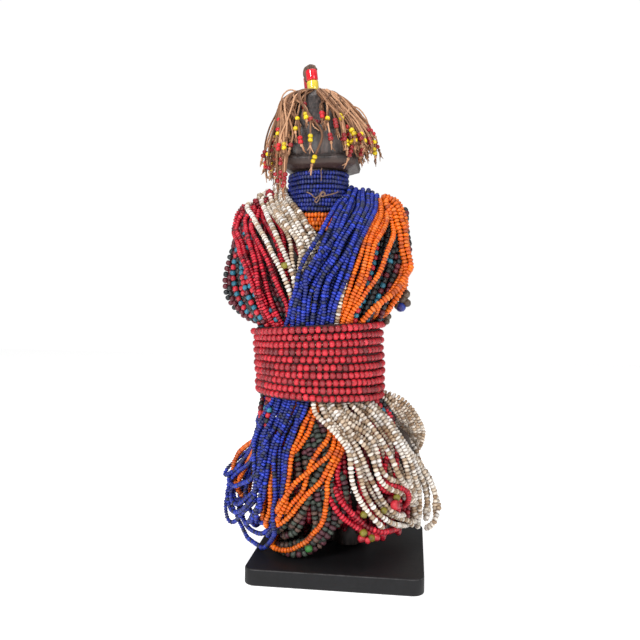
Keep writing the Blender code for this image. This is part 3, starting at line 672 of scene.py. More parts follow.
CREAM_SKIRT = [
    [(313.5, 402), (315, 413), (326.7, 425), (341.3, 439.7), (349, 452), (351, 471.3), (352.5, 483.2),
     (358.2, 497.3), (370, 514.8), (380, 525.3)],
    [(320, 402), (323.7, 412.6), (332.5, 426.5), (345, 442), (354.6, 458), (361, 479.7), (365.2, 493.8),
     (377, 512), (389, 521.8), (402.3, 525.3, -0.7), (412, 521.8, -0.4)],
    [(326.7, 402), (331, 413.3), (341.3, 425), (348.7, 436), (356, 446), (363, 460), (368.7, 474),
     (377, 490.2), (384, 502.9), (395.3, 513.4), (404, 516, -0.7)],
    [(331, 402), (340, 418), (353, 434.6), (365.9, 446.7), (373, 459), (377, 474), (383, 484), (392, 490),
     (403, 493, -0.7)],
    [(336, 402), (344, 418), (354.5, 427.3), (360.4, 429.5), (372.9, 441), (377.8, 455), (381, 470),
     (389.7, 479), (403.7, 484.6, -0.7)],
    [(342, 402), (347, 413), (356, 418), (367.7, 423.6), (379.2, 437), (386.2, 449.6), (393.2, 462),
     (396.7, 474), (401, 488, -0.9), (407, 498, -0.7)],
    [(349, 402), (360, 413), (371, 426), (382, 441), (391, 457), (398, 473), (404, 486, -0.8),
     (410, 500, -0.6)],
    [(354, 402), (367.7, 408), (378, 418), (387.6, 430), (396.7, 444), (403.7, 457), (407, 471),
     (409, 486, -0.8), (413, 498, -0.5)],
    [(361, 402), (371, 410), (382, 420), (392, 433), (402, 448), (408, 462), (411.5, 478, -0.8),
     (413, 496, -0.6), (414, 512, -0.4)],
    [(365, 401), (376, 411), (387, 424), (396.5, 437), (404, 449), (410, 462, -0.85), (413.5, 475, -0.7),
     (418.5, 491.6, -0.5), (419.2, 509.2, -0.3), (417, 528.8, 0.0)],
    [(370, 401), (381, 411), (390, 422), (399.5, 436), (407.5, 448, -0.9), (414.5, 462, -0.7),
     (420, 475, -0.5), (425, 488, -0.3), (427, 505, -0.1), (425.5, 520, 0.1)],
    [(368, 400), (379, 412), (390, 426), (400.5, 440), (409, 451, -0.85), (419, 465, -0.6),
     (428, 478, -0.4), (433, 488, -0.2), (436.8, 504, 0.0), (433.9, 521.8, 0.2), (426.2, 527, 0.4)],
]

# The bundle that comes from behind the belt at the picture's right and goes behind the hip
CREAM_BUNDLE_INNER = [(386, 390, -0.35), (389, 397, -0.2), (395, 409, 0.2), (402, 420, 0.7),
                      (405, 430, 1.0), (402, 442, 1.0), (400, 456, 1.0), (398, 474, 1.0), (396, 496, 1.0)]
CREAM_BUNDLE_OUTER = [(387, 386, -0.2), (394, 390, 0.0), (406, 401, 0.2), (417, 418, 0.5),
                      (423.5, 433, 0.9), (421.0, 445, 1.0), (411, 456, 1.0), (407, 476, 1.0),
                      (404, 498, 1.0)]
CREAM_BUNDLE = 6
CREAM_BETWEEN = ((1, 2), (3, 4), (4, 5), (6, 7))

RED_SKIRT = [
    sunk((2.4, 2.4, 2.6, 1.3, 0.5),
         [(316, 405), (324, 440), (329, 474), (335, 492.3), (344, 505.7), (358, 518.3), (370, 529.5),
          (387.6, 531.6), (396, 528, -0.6)]),
    sunk((2.6, 2.6, 2.6, 1.4, 0.7),
         [(313, 405), (318, 440), (324, 480), (330, 499), (339.2, 514), (353.2, 525.3), (366.6, 532.3),
          (380, 533)]),
    [(374, 405), (384, 430), (386, 458), (382, 479.7), (389.7, 484.6), (405, 489.5), (408.7, 495),
     (406.6, 503.6, -0.7), (401.6, 510.6, -0.4)],
    [(366, 405), (374, 430), (380, 460), (381, 489.5), (392, 492), (400, 498), (398, 510)],
    [(368, 404), (383, 410), (390, 418), (394, 436), (396, 458), (396, 482), (394, 500)],
    [(330, 405), (336, 440), (338, 470), (342, 494), (350, 514), (362, 526), (372, 531)],
    [(342, 405), (352, 440), (358, 470), (362, 492), (370, 512), (380, 522)],
]

RED_SKIRT_DEPTHS = ((2.2, 0.4), (2.4, 0.8), (1.8, 0.8), (1.8, 1.2), (1.6, 1.4), 2.0, 1.8)

# Strands that fill the skirt from below, darkened with painted shade, lie between these two
SKIRT_UNDER = 21
SKIRT_UNDER_LEFT = [(276, 404), (269, 430), (267, 460), (266, 490), (266, 518)]
SKIRT_UNDER_RIGHT = [(380, 404), (393, 430), (403, 460), (408, 490), (406, 520)]

DARK_LOOPS = [
    [(300, 405), (312, 450), (320, 500), (324, 534), (312.7, 548), (298.7, 554), (282, 555.5)],
    [(296, 405), (306, 450), (312, 500), (316, 530), (306, 543), (292, 548), (276, 546)],
    [(304, 405), (318, 450), (326, 498), (329, 522), (322, 536), (310, 545), (296, 549)],
    [(290, 405), (296, 450), (300, 490), (304, 516), (297, 530), (284, 536)],
    [(308, 405), (324, 450), (332, 492), (335, 516), (330, 530), (320, 540)],
    [(286, 405), (290, 450), (291, 490), (292, 510), (286, 524), (277, 530)],
    [(312, 405), (326, 450), (316, 480), (308, 500), (300, 516), (290, 526)],
    [(320, 405), (334, 450), (342, 490), (346, 504), (344, 514), (336, 524), (326, 532)],
]

MIXED_SKIRT = [
    [(262.5, 398, -0.9), (261, 406, -0.9), (260, 413, -0.8), (262, 420, -0.5), (265, 421, 0.0),
     (267, 414, 0.5), (268, 400, 1.0)],
    [(268, 399), (266.5, 408), (265, 417), (264, 426, -0.7), (266, 428, -0.2), (268, 420, 0.4),
     (270, 400, 1.0)],
    [(274, 400), (271, 410), (268.5, 421), (267, 430, -0.8), (269, 432, -0.3), (271, 420, 0.4),
     (272, 400, 1.0)],
    [(374, 400, -0.9), (379, 407, -0.8), (384, 413, -0.5), (388, 419, -0.1), (390, 424, 0.3),
     (390, 418, 0.8), (386, 404, 1.0)],
    [(378, 398, -0.8), (383, 404, -0.7), (388, 410, -0.4), (391, 416, 0.0), (392, 421, 0.4),
     (392, 414, 0.8), (388, 402, 1.0)],
]

# Single larger beads between the strands: pixel, layer, radius, tone; a layer of -1 is on the forehead
ODD_BEADS = [
    (284.5, 265.4, 0.9, 0.0022, MIX_OLIVE), (395.3, 505.0, 0.5, 0.0029, MIX_RED),
    (396.7, 497.5, 0.8, 0.0022, MIX_OLIVE), (384.0, 510.6, 0.9, 0.0020, MIX_OLIVE),
    (363.8, 514.8, 0.5, 0.0021, MIX_OLIVE), (363.5, 533.0, 0.9, 0.0023, MIX_OLIVE),
    (371.5, 538.0, 0.9, 0.0023, MIX_OLIVE), (361.5, 538.5, 1.1, 0.0023, MIX_RED),
    (367.5, 540.0, 1.0, 0.0022, MIX_RED), (376.5, 537.5, 0.9, 0.0022, MIX_RED),
    (308.7, 548.8, 0.7, 0.0023, MIX_GREEN), (390.0, 500.0, 1.2, 0.0022, MIX_MAROON),
    (401.0, 307.0, 0.9, 0.0031, MIX_NAVY), (406.0, 294.0, 1.1, 0.0027, MIX_BROWN),
    (407.0, 303.0, 1.2, 0.0025, MIX_BROWN), (403.0, 299.0, 1.4, 0.0030, MIX_BROWN),
    (388.0, 316.5, 1.0, 0.0022, MIX_BROWN), (386.5, 321.5, 1.0, 0.0021, MIX_BROWN),
    (398.0, 305.5, 1.6, 0.0026, MIX_BROWN), (310.0, 119.8, -1.0, 0.0013, MIX_RED),
    (313.0, 121.0, -1.0, 0.0013, MIX_RED), (316.0, 121.6, -1.0, 0.0013, MIX_RED),
    (318.8, 121.6, -1.0, 0.0012, MIX_MAROON),
]


def blue_and_orange_skirt():
    """The loops at the picture's left and the ones that hang down the middle."""
    for index, route in enumerate(BLUE_LOOPS):
        whole_loop("blue_strands_skirt", "blue_small", route, 0.1 + 0.3 * (index % 3))
    for index, route in enumerate(BLUE_SKIRT):
        skirt_strand("blue_strands_skirt", "blue_small", route, 0.1 + 0.35 * (index % 2))
    for route in ORANGE_LOOPS:
        whole_loop("orange_strands_skirt", "orange", route, 0.9)
    for index, route in enumerate(ORANGE_SKIRT):
        skirt_strand("orange_strands_skirt", "orange", route, (1.5, 0.1 + 0.35 * (index % 3)))


def cream_skirt():
    """The loops at the picture's right, the small ones between them and the bundle behind the hip."""
    for index, route in enumerate(CREAM_SKIRT):
        skirt_strand("cream_strands_skirt", "cream", route, 0.1 + 0.4 * (index % 3))
    for index, (first, second) in enumerate(CREAM_BETWEEN):
        route = between(CREAM_SKIRT[first], CREAM_SKIRT[second], 0.5, 9, 0.3, index + 80)
        # The small cream strands between the loops take darker tones: painted shade.
        skirt_strand("cream_strands_skirt", "cream_small", route, (1.0, 2.0), SHADED_CREAM)
    for index in range(CREAM_BUNDLE):
        share = index / (CREAM_BUNDLE - 1)
        route = side_between(CREAM_BUNDLE_INNER, CREAM_BUNDLE_OUTER, share)
        # The bundle behind the hip takes darker tones: painted shade.
        whole_loop("cream_strands_skirt", "cream_small", route, 0.25 * (index % 2), SHADED_CREAM)


def inner_skirt():
    """The red loops, the ones under them darkened with painted shade, the large dark beads and the mixed ones
    at the hips.
    """
    for route, layer in zip(RED_SKIRT, RED_SKIRT_DEPTHS):
        skirt_strand("red_strands_skirt", "red_large", route, layer)
    for index in range(SKIRT_UNDER):
        share = index / (SKIRT_UNDER - 1)
        route = between(SKIRT_UNDER_LEFT, SKIRT_UNDER_RIGHT, share, 8, 0.1, index + 60)
        # The red strands under the loops take dark tones of painted shade.
        skirt_strand("red_strands_skirt", "red_under", route, 2.4 + 0.4 * (index % 2), SHADED_DARKEST)
    for index, route in enumerate(DARK_LOOPS):
        layer = 1.6 + 0.5 * (index % 2)
        skirt_strand("dark_bead_loops", "dark", route, layer, picked(*DARK_TONES), 0.12)
    for route in MIXED_SKIRT:
        tones = picked(MIX_BLACK, MIX_MAROON, MIX_TEAL, MIX_RED, MIX_BLACK)
        whole_loop("mixed_strands_skirt", "mixed", route, 0.2, tones)


def make_skirt():
    """The loops under the belt, from the outermost inwards."""
    blue_and_orange_skirt()
    cream_skirt()
    inner_skirt()


# The front of the head, as a surface that beads lie on
FOREHEAD = np.array([
    (0.2400, 0.0225, 0.0600, 0.0, 0.0),
    (0.2640, 0.0205, 0.0600, 0.0, 0.0),
    (0.2840, 0.0120, 0.0600, 0.0, 0.0),
])
ODD_BEAD_LENGTH = 1.8
ODD_BEAD_SIDES = 12


def make_odd_beads(materials):
    """The single larger beads and lumps that sit between the strands."""
    spots = []
    for px, py, deep, _, _ in ODD_BEADS:
        on_head = deep < 0.0
        spots.append(pin(px, py, 0.0, -1.0, FOREHEAD) if on_head else pin(px, py, -deep * LAYER))
    spots = np.array(spots)
    radii = np.array([bead[3] for bead in ODD_BEADS])
    tones = np.array([bead[4] for bead in ODD_BEADS])
    axes = dice.normal(0.0, 1.0, (len(ODD_BEADS), 3))
    lengths = radii * ODD_BEAD_LENGTH
    thing = bead_object("single_beads", spots, axes, radii, lengths, tones, materials["mixed"],
                        ROUND_PROFILE, ODD_BEAD_SIDES)
    finish_piece(thing, "mixed_bead")


# Settling: strands keep their length, push each other apart and stay off the wood

SETTLE_ROUNDS = 60
SETTLE_SQUASH = 0.90
PAIRS_EVERY = 15
PAIR_REACH = 0.0046
PUSH = 0.45
MOST_PUSH = 0.0006
BACK_TO_ROUTE = 0.04
BESIDE_NECK = 0.0034
OVER_BASE = 0.0008
# What the strands lie on, as ovals: middle, then half width, half depth and half height
WOOD_BLOBS = [
    (HIP_X - 0.031, 0.0, 0.053, 0.022, 0.018, 0.0175),
    (HIP_X + 0.031, 0.0, 0.053, 0.022, 0.018, 0.0175),
    (HIP_X - 0.012, 0.0, 0.030, 0.012, 0.013, 0.032),
    (HIP_X + 0.012, 0.0, 0.030, 0.012, 0.013, 0.032),
    (0.0, 0.0, 0.078, 0.028, 0.024, 0.022),
    (0.0, 0.0, 0.170, 0.031, 0.028, 0.030),
    (-0.040, 0.0, 0.180, 0.014, 0.012, 0.024),
    (0.040, 0.0, 0.180, 0.014, 0.012, 0.024),
]


def nearby_pairs(spots, owners, reach):
    """Pairs of beads close enough to touch, apart from close neighbours on one strand."""
    tree = kdtree.KDTree(len(spots))
    for index, spot in enumerate(spots):
        tree.insert(spot, index)
    tree.balance()
    first = []
    second = []
    for index, spot in enumerate(spots):
        for _, other, _ in tree.find_range(spot, reach):
            if other > index and (owners[index] != owners[other] or other - index > 3):
                first.append(index)
                second.append(other)
    return np.array(first), np.array(second)


def push_apart(spots, radii, first, second):
    """Moves beads that are inside each other apart."""
    gap = spots[second] - spots[first]
    size = np.maximum(np.linalg.norm(gap, axis=1), 1e-6)
    inside = np.maximum((radii[first] + radii[second]) * SETTLE_SQUASH - size, 0.0)
    push = gap * (PUSH * inside / size)[:, None]
    move = np.zeros_like(spots)
    for axis in range(3):
        move[:, axis] += np.bincount(second, push[:, axis], len(spots))
        move[:, axis] -= np.bincount(first, push[:, axis], len(spots))
    spots += np.clip(move, -MOST_PUSH, MOST_PUSH)


def keep_lengths(spots, links, rest):
    """Brings neighbours on a strand back to their distance."""
    gap = spots[links + 1] - spots[links]
    size = np.maximum(np.linalg.norm(gap, axis=1), 1e-6)
    pull = gap * (PUSH * (size - rest) / size)[:, None]
    for axis in range(3):
        spots[:, axis] += np.bincount(links, pull[:, axis], len(spots))
        spots[:, axis] -= np.bincount(links + 1, pull[:, axis], len(spots))


def smooth_strands(group, spots):
    """Gives each strand its settled places, smoothed a little along it."""
    start = 0
    for strand in group:
        run = spots[start:start + len(strand.spots)]
        for _ in range(2):
            run[1:-1] = run[1:-1] * 0.6 + (run[:-2] + run[2:]) * 0.2
        strand.spots = run
        start += len(run)


def settle(group):
    """Relaxes all strands of a group together."""
    spots = np.vstack([strand.spots for strand in group])
    radii = np.concatenate([strand.radii for strand in group])
    lengths = np.concatenate([strand.lengths for strand in group])
    owners = np.concatenate([np.full(len(strand.spots), index) for index, strand in enumerate(group)])
    goals = spots.copy()
    links = np.nonzero(owners[:-1] == owners[1:])[0]
    breaks = np.nonzero(owners[:-1] != owners[1:])[0]
    rest = (lengths[links] + lengths[links + 1]) / 2
    ends = np.concatenate([[0], breaks, breaks + 1, [len(spots) - 1]])
    for turn in range(SETTLE_ROUNDS):
        if turn % PAIRS_EVERY == 0:
            first, second = nearby_pairs(spots, owners, PAIR_REACH)
        push_apart(spots, radii, first, second)
        for _ in range(2):
            keep_lengths(spots, links, rest)
        spots += (goals - spots) * BACK_TO_ROUTE
        keep_off_wood(spots, radii)
        spots[ends] = goals[ends]
    smooth_strands(group, spots)


def keep_off_wood(spots, radii):
    """Moves beads out of the limbs, the neck coils and the belt, and up off the base."""
    for x, y, z, half_x, half_y, half_z in WOOD_BLOBS:
        middle = np.array((x, y, z))
        halves = np.array((half_x, half_y, half_z))
        scaled = (spots - middle) / (halves + radii[:, None])
        size = np.linalg.norm(scaled, axis=1)
        inside = (size < 1.0) & (size > 0.05)
        out = scaled[inside] / size[inside][:, None]
        spots[inside] = middle + out * (halves + radii[inside][:, None])
    flat = np.linalg.norm(spots[:, :2], axis=1)
    beside = NECK_RADIUS + BESIDE_NECK + radii
    by_neck = (spots[:, 2] > COLLAR_LOW - 0.002) & (flat < beside)
    spots[by_neck, :2] *= (beside[by_neck] / flat[by_neck])[:, None]
    in_belt = (spots[:, 2] > BELT_LOW) & (spots[:, 2] < BELT_TOP)
    too_far = in_belt & (flat > BELT_INNER - radii)
    spots[too_far, :2] *= ((BELT_INNER - radii[too_far]) / flat[too_far])[:, None]
    spots[:, 2] = np.maximum(spots[:, 2], radii + OVER_BASE)


# Meshes

SEED_PROFILE = ((-1.0, 0.66), (0.0, 1.03), (1.0, 0.66))
ROUND_PROFILE = ((-1.0, 0.42), (-0.70, 0.83), (0.0, 1.01), (0.70, 0.83), (1.0, 0.42))


def placed(name, data):
    """A new object in the scene that shows the data."""
    thing = bpy.data.objects.new(name, data)
    bpy.context.scene.collection.objects.link(thing)
    return thing


def mesh_object(name, vertices, faces, material, attributes=None):
    """A smooth mesh object in world space, its attributes one number a vertex."""
    mesh = bpy.data.meshes.new(name)
    mesh.from_pydata(vertices, [], faces)
    mesh.update()
    for label, values in (attributes or {}).items():
        layer = mesh.attributes.new(label, "FLOAT", "POINT")
        layer.data.foreach_set("value", np.ascontiguousarray(values, dtype=np.float32))
    mesh.polygons.foreach_set("use_smooth", np.ones(len(mesh.polygons), dtype=bool))
    mesh.materials.append(material)
    return placed(name, mesh)


def tube_sides(start, rings, sides):
    """The four-sided faces between the rings of a tube or barrel."""
    faces = []
    for ring in range(rings - 1):
        low = start + ring * sides
        for side in range(sides):
            after = (side + 1) % sides
            faces.append((low + side, low + after, low + sides + after, low + sides + side))
    return faces


def tube_caps(start, rings, sides):
    """The two faces that close a tube or barrel."""
    last = start + (rings - 1) * sides
    return [tuple(start + side for side in range(sides))[::-1], tuple(last + side for side in range(sides))]


def to_world(spots):
    """Numpy points from the figure's frame to the world."""
    turn = np.array(FIGURE.to_3x3())
    return spots @ turn.T + np.array(FIGURE.translation)


def across_axes(axes):
    """Two directions across each of many axes."""
    helper = np.where(np.abs(axes[:, 2:3]) < 0.8, np.array([[0.0, 0.0, 1.0]]), np.array([[1.0, 0.0, 0.0]]))
    across = np.cross(axes, helper)
    across /= np.linalg.norm(across, axis=1)[:, None]
    return across, np.cross(axes, across)


def bead_object(name, spots, axes, radii, lengths, tones, material, profile, sides=7):
    """Many beads as one object: closed barrels along their axes, with a tone and a groove number."""
    count = len(spots)
    axes = axes / np.linalg.norm(axes, axis=1)[:, None]
    across, aside = across_axes(axes)
    turn = dice.uniform(0.0, 2 * math.pi, count)
    angle = 2 * math.pi * np.arange(sides)[None, :] / sides + turn[:, None]
    around = across[:, None, :] * np.cos(angle)[:, :, None] + aside[:, None, :] * np.sin(angle)[:, :, None]
    rings = []
    grooves = []
    for place, width in profile:
        middle = (spots + axes * (lengths * 0.5 * place)[:, None])[:, None, :]
        rings.append(around * (radii * width)[:, None, None] + middle)
        grooves.append(np.full((count, sides), 1.0 - width))
    vertices = np.stack(rings, axis=1).reshape(-1, 3)
    per_bead = len(profile) * sides
    pattern = tube_caps(0, len(profile), sides) + tube_sides(0, len(profile), sides)
    faces = []
    for start in range(0, count * per_bead, per_bead):
        faces.extend([tuple(start + corner for corner in face) for face in pattern])
    values = {
        "tone": np.repeat(tones, per_bead),
        "shade": np.repeat(dice.random(count), per_bead),
        "groove": np.stack(grooves, axis=1).reshape(-1),
    }
    return mesh_object(name, to_world(vertices), faces, material, values)


def strand_axes(spots):
    """The direction of a strand at each of its beads, a little uneven."""
    axes = np.gradient(spots, axis=0)
    axes /= np.maximum(np.linalg.norm(axes, axis=1), 1e-9)[:, None]
    return axes + dice.normal(0.0, 0.05, axes.shape)


def tube_spots(path, width, sides):
    """The rings of points of a round tube, each turned as little as can be from the last."""
    path = np.asarray(path, dtype=float)
    wide = np.broadcast_to(np.asarray(width, dtype=float), (len(path),))
    axes = np.gradient(path, axis=0)
    axes /= np.maximum(np.linalg.norm(axes, axis=1), 1e-9)[:, None]
    aside = np.cross(axes[0], (0.13, 0.22, 0.97))
    spots = []
    for index, axis in enumerate(axes):
        aside = aside - axis * np.dot(aside, axis)
        aside /= max(np.linalg.norm(aside), 1e-9)
        other = np.cross(axis, aside)
        for side in range(sides):
            angle = 2 * math.pi * side / sides
            spots.append(path[index] + (aside * math.cos(angle) + other * math.sin(angle)) * wide[index] / 2)
    return spots


def tubes_object(name, paths, widths, material, sides=5, tones=None):
    """Many closed round tubes as one object; a width is a number or one number a point."""
    vertices = []
    faces = []
    tone_values = []
    for number, (path, width) in enumerate(zip(paths, widths)):
        start = len(vertices)
        vertices.extend(tube_spots(path, width, sides))
        faces.extend(tube_sides(start, len(path), sides) + tube_caps(start, len(path), sides))
        tone = chance.random() if tones is None else tones[number]
        tone_values.extend([tone] * (len(path) * sides))
    return mesh_object(name, to_world(np.array(vertices)), faces, material, {"tone": tone_values})


# Materials

def material_nodes(name, roughness=0.5):
    """A new node material: the material, its shader and a maker of linked nodes."""
    material = bpy.data.materials.new(name)
    material.use_nodes = True
    tree = material.node_tree
    shader = tree.nodes["Principled BSDF"]
    shader.inputs["Roughness"].default_value = roughness

    def add(kind, inputs=None, **settings):
        node = tree.nodes.new(kind)
        for key, value in settings.items():
            setattr(node, key, value)
        for key, value in (inputs or {}).items():
            if isinstance(value, bpy.types.NodeSocket):
                tree.links.new(value, node.inputs[key])
            else:
                node.inputs[key].default_value = value
        return node

    return material, shader, add


def feed(shader, socket, value):
    """Links a value that changes from place to place to one of the shader's sockets."""
    shader.id_data.links.new(value, shader.inputs[socket])


def stored(add, name):
    """A number that the mesh holds at each vertex."""
    return add("ShaderNodeAttribute", attribute_name=name).outputs["Fac"]


def eased(add, value, low, high, bottom, top):
    """A value taken from one range to another and held at its ends."""
    ends = {"Value": value, "From Min": low, "From Max": high, "To Min": bottom, "To Max": top}
    return add("ShaderNodeMapRange", ends).outputs["Result"]


def ramp(add, source, stops, constant=False):
    """A colour ramp on a value; stops are (place, colour)."""
    node = add("ShaderNodeValToRGB", {"Fac": source})
    node.color_ramp.interpolation = "CONSTANT" if constant else "LINEAR"
    elements = node.color_ramp.elements
    while len(elements) > 1:
        elements.remove(elements[-1])
    elements[0].position = stops[0][0]
    elements[0].color = (*stops[0][1], 1.0)
    for place, colour in stops[1:]:
        stop = elements.new(place)
        stop.color = (*colour, 1.0)
    return node.outputs["Color"]


def mix_colour(add, share, first, second, how="MIX"):
    """Two colours mixed by a share; each is a linked value or a plain colour."""
    node = add("ShaderNodeMix", data_type="RGBA", blend_type=how)
    tree = node.id_data
    for socket, value in zip((node.inputs["Factor"], node.inputs[6], node.inputs[7]), (share, first, second)):
        if isinstance(value, bpy.types.NodeSocket):
            tree.links.new(value, socket)
        elif isinstance(value, tuple):
            socket.default_value = (*value, 1.0)
        else:
            socket.default_value = value
    return node.outputs[2]


def noise_value(add, scale, detail=3.0, roughness=0.55, stretch=(1.0, 1.0, 1.0)):
    """Noise in the object's own frame, drawn out where a number of stretch is small."""
    place = add("ShaderNodeTexCoord").outputs["Object"]
    if stretch != (1.0, 1.0, 1.0):
        place = add("ShaderNodeMapping", {"Vector": place, "Scale": stretch}).outputs["Vector"]
    settings = {"Vector": place, "Scale": scale, "Detail": detail, "Roughness": roughness}
    return add("ShaderNodeTexNoise", settings).outputs["Fac"]


def add_bump(add, shader, height, strength, distance):
    """Gives the shader fine relief from a height."""
    node = add("ShaderNodeBump", {"Height": height, "Strength": strength, "Distance": distance})
    feed(shader, "Normal", node.outputs["Normal"])


def bead_material(name, stops, dirt_and_groove_shade, groove_shade_amount=0.75, constant=False, roughness=0.34, wear=0.25):
    """Opaque glass beads: a colour for each bead, painted shade in the grooves between beads, dull worn
    patches.
    """
    material, shader, add = material_nodes(name, roughness)
    colour = ramp(add, stored(add, "tone"), stops, constant)
    light = ramp(add, stored(add, "shade"), BEAD_LIGHT)
    colour = mix_colour(add, 1.0, colour, light, "MULTIPLY")
    patches = noise_value(add, 420.0, 4.0, 0.6)
    colour = mix_colour(add, eased(add, patches, 0.52, 0.72, 0.0, wear), colour, dirt_and_groove_shade)
    # Painted shade: each bead's ends, where it meets its neighbours, are darkened towards the colour of the
    # worn patches.
    deep = eased(add, stored(add, "groove"), 0.12, 0.42, 0.0, groove_shade_amount)
    colour = mix_colour(add, deep, colour, dirt_and_groove_shade)
    feed(shader, "Base Color", colour)
    feed(shader, "Roughness", eased(add, patches, 0.3, 0.7, roughness - 0.08, roughness + 0.22))
    add_bump(add, shader, noise_value(add, 1500.0, 2.0), 0.25, 0.0002)
    return material


def srgb(red, green, blue):
    """Linear colour from the picture's 0 to 255 numbers."""
    return tuple(((value / 255.0 + 0.055) / 1.055) ** 2.4 if value > 10 else value / 3294.6
                 for value in (red, green, blue))


def colours(*rows):
    """The stops of a ramp from rows of place, red, green and blue."""
    return [(place, srgb(red, green, blue)) for place, red, green, blue in rows]


# How light single beads are, from the darkest to the palest
BEAD_LIGHT = [(0.0, (0.66, 0.66, 0.66)), (0.5, (0.92, 0.92, 0.92)), (1.0, (1.08, 1.08, 1.08))]
BLUE = colours((0.0, 40, 44, 64), (0.2, 42, 50, 104), (0.4, 36, 50, 140), (0.75, 36, 56, 178),
               (1.0, 46, 72, 204))
ORANGE = colours((0.0, 186, 84, 40), (0.15, 232, 100, 24), (0.4, 250, 112, 8), (0.85, 255, 124, 14),
                 (1.0, 248, 134, 60))
CREAM = colours((0.0, 158, 128, 98), (0.2, 208, 184, 156), (0.42, 242, 230, 214), (1.0, 255, 251, 246))
RED = colours((0.0, 100, 12, 26), (0.15, 150, 16, 36), (0.4, 206, 22, 48), (0.8, 226, 28, 54),
              (1.0, 228, 56, 76))
BELT_RED = colours((0.0, 122, 40, 46), (0.2, 164, 42, 52), (0.5, 200, 40, 54), (0.85, 216, 42, 58),
                   (1.0, 222, 70, 84))
MIXED = colours((0.0, 215, 45, 60), (0.17, 52, 132, 158), (0.34, 38, 44, 46), (0.50, 105, 34, 46),
                (0.66, 140, 130, 40), (0.75, 54, 122, 56), (0.85, 45, 62, 150), (0.94, 100, 84, 68))
DARK = colours((0.0, 58, 68, 60), (0.2, 92, 48, 58), (0.4, 74, 84, 74), (0.6, 48, 50, 48), (0.8, 104, 80, 70))
HAIR_BEAD = colours((0.0, 222, 34, 48), (0.3, 158, 30, 40), (0.5, 246, 214, 24), (0.95, 240, 232, 220))


def make_materials():
    """The materials of the beads, the threads, the fibre and the leather."""
    return {
        # Each bead material's third value is the colour of its worn patches and of the painted shade in its
        # grooves; its fourth is how strong that painted shade is.
        "blue": bead_material("blue_glass", BLUE, srgb(28, 28, 40), 0.6),
        "orange": bead_material("orange_glass", ORANGE, srgb(120, 50, 20), 0.6),
        "cream": bead_material("cream_glass", CREAM, srgb(112, 78, 50), 0.9, wear=0.42),
        "red": bead_material("red_glass", RED, srgb(70, 10, 20), 0.75),
        "belt": bead_material("belt_red_glass", BELT_RED, srgb(110, 40, 40), 0.6, wear=0.55),
        "mixed": bead_material("mixed_glass", MIXED, srgb(50, 30, 30), 0.5, constant=True),
        "dark": bead_material("dark_glass", DARK, srgb(34, 30, 26), 0.6, constant=True, roughness=0.45),
        "hair": bead_material("hair_bead_glass", HAIR_BEAD, srgb(120, 70, 30), 0.4, constant=True,
                              roughness=0.22),
        "fibre": fibre_material("plant_fibre", (0.0, 98, 64, 42), (0.5, 158, 112, 80), (1.0, 220, 170, 132)),
        "thread": fibre_material("pale_thread", (0.0, 190, 170, 140), (1.0, 225, 215, 195)),
        # Dark rings behind the belt: painted shade in its gaps.
        "gap_shade": fibre_material("dark_gap_shade", (0.0, 58, 24, 24), (1.0, 78, 36, 34)),
        "leather": fibre_material("dark_leather", (0.0, 58, 44, 38), (1.0, 132, 104, 88)),
    }


def wood_material():
    """Dark handled wood: streaky grain, lighter and darker blotches, and a brown tint of painted bounce light
    on faces that look down.
    """
    material, shader, add = material_nodes("dark_carved_wood", 0.6)
    grain = noise_value(add, 520.0, 6.0, 0.65, (1.0, 1.0, 0.16))
    blotch = noise_value(add, 70.0, 4.0)
    streaks = colours((0.30, 20, 16, 16), (0.5, 50, 42, 41), (0.66, 92, 80, 76), (0.85, 128, 112, 104))
    tints = [(0.3, (0.55, 0.5, 0.5)), (0.55, (1.0, 0.95, 0.92)), (0.8, (1.35, 1.1, 1.0))]
    colour = mix_colour(add, 1.0, ramp(add, grain, streaks), ramp(add, blotch, tints), "MULTIPLY")
    # Painted bounce light: faces that look down are tinted warm brown, as if lit by light from the floor.
    normal = add("ShaderNodeNewGeometry").outputs["Normal"]
    facing = add("ShaderNodeSeparateXYZ", {"Vector": normal}).outputs["Z"]
    below = eased(add, facing, -0.10, -0.45, 0.0, 0.75)
    feed(shader, "Base Color", mix_colour(add, below, colour, srgb(68, 48, 40)))
    feed(shader, "Roughness", eased(add, grain, 0.3, 0.8, 0.32, 0.62))
    add_bump(add, shader, grain, 0.6, 0.0005)
    return material


def fibre_material(name, *rows):
    """Plant fibre, thread or leather: fine lengthwise streaks, a tone for each cord."""
    material, shader, add = material_nodes(name, 0.75)
    streak = noise_value(add, 1.0, 4.0, 0.6, (900.0, 900.0, 160.0))
    lights = [(0.25, (0.55, 0.5, 0.45)), (0.5, (0.95, 0.95, 0.95)), (0.75, (1.3, 1.25, 1.2))]
    colour = ramp(add, stored(add, "tone"), colours(*rows))
    feed(shader, "Base Color", mix_colour(add, 1.0, colour, ramp(add, streak, lights), "MULTIPLY"))
    add_bump(add, shader, streak, 0.5, 0.0003)
    return material


def base_material():
    """Satin black paint, greyer and scuffed where the board's edges are handled."""
    material, shader, add = material_nodes("black_board", 0.5)
    shader.inputs["Specular IOR Level"].default_value = 0.3
    fine = noise_value(add, 300.0, 5.0, 0.7)
    worn = add("ShaderNodeMath", {0: stored(add, "tone"), 1: fine}, operation="MULTIPLY").outputs["Value"]
    share = eased(add, worn, 0.25, 0.60, 0.0, 0.3)
    paint = ramp(add, fine, colours((0.3, 15, 15, 16), (0.7, 26, 26, 29)))
    feed(shader, "Base Color", mix_colour(add, share, paint, srgb(110, 108, 108)))
    feed(shader, "Roughness", eased(add, fine, 0.0, 1.0, 0.48, 0.66))
    add_bump(add, shader, fine, 0.08, 0.0002)
    return material


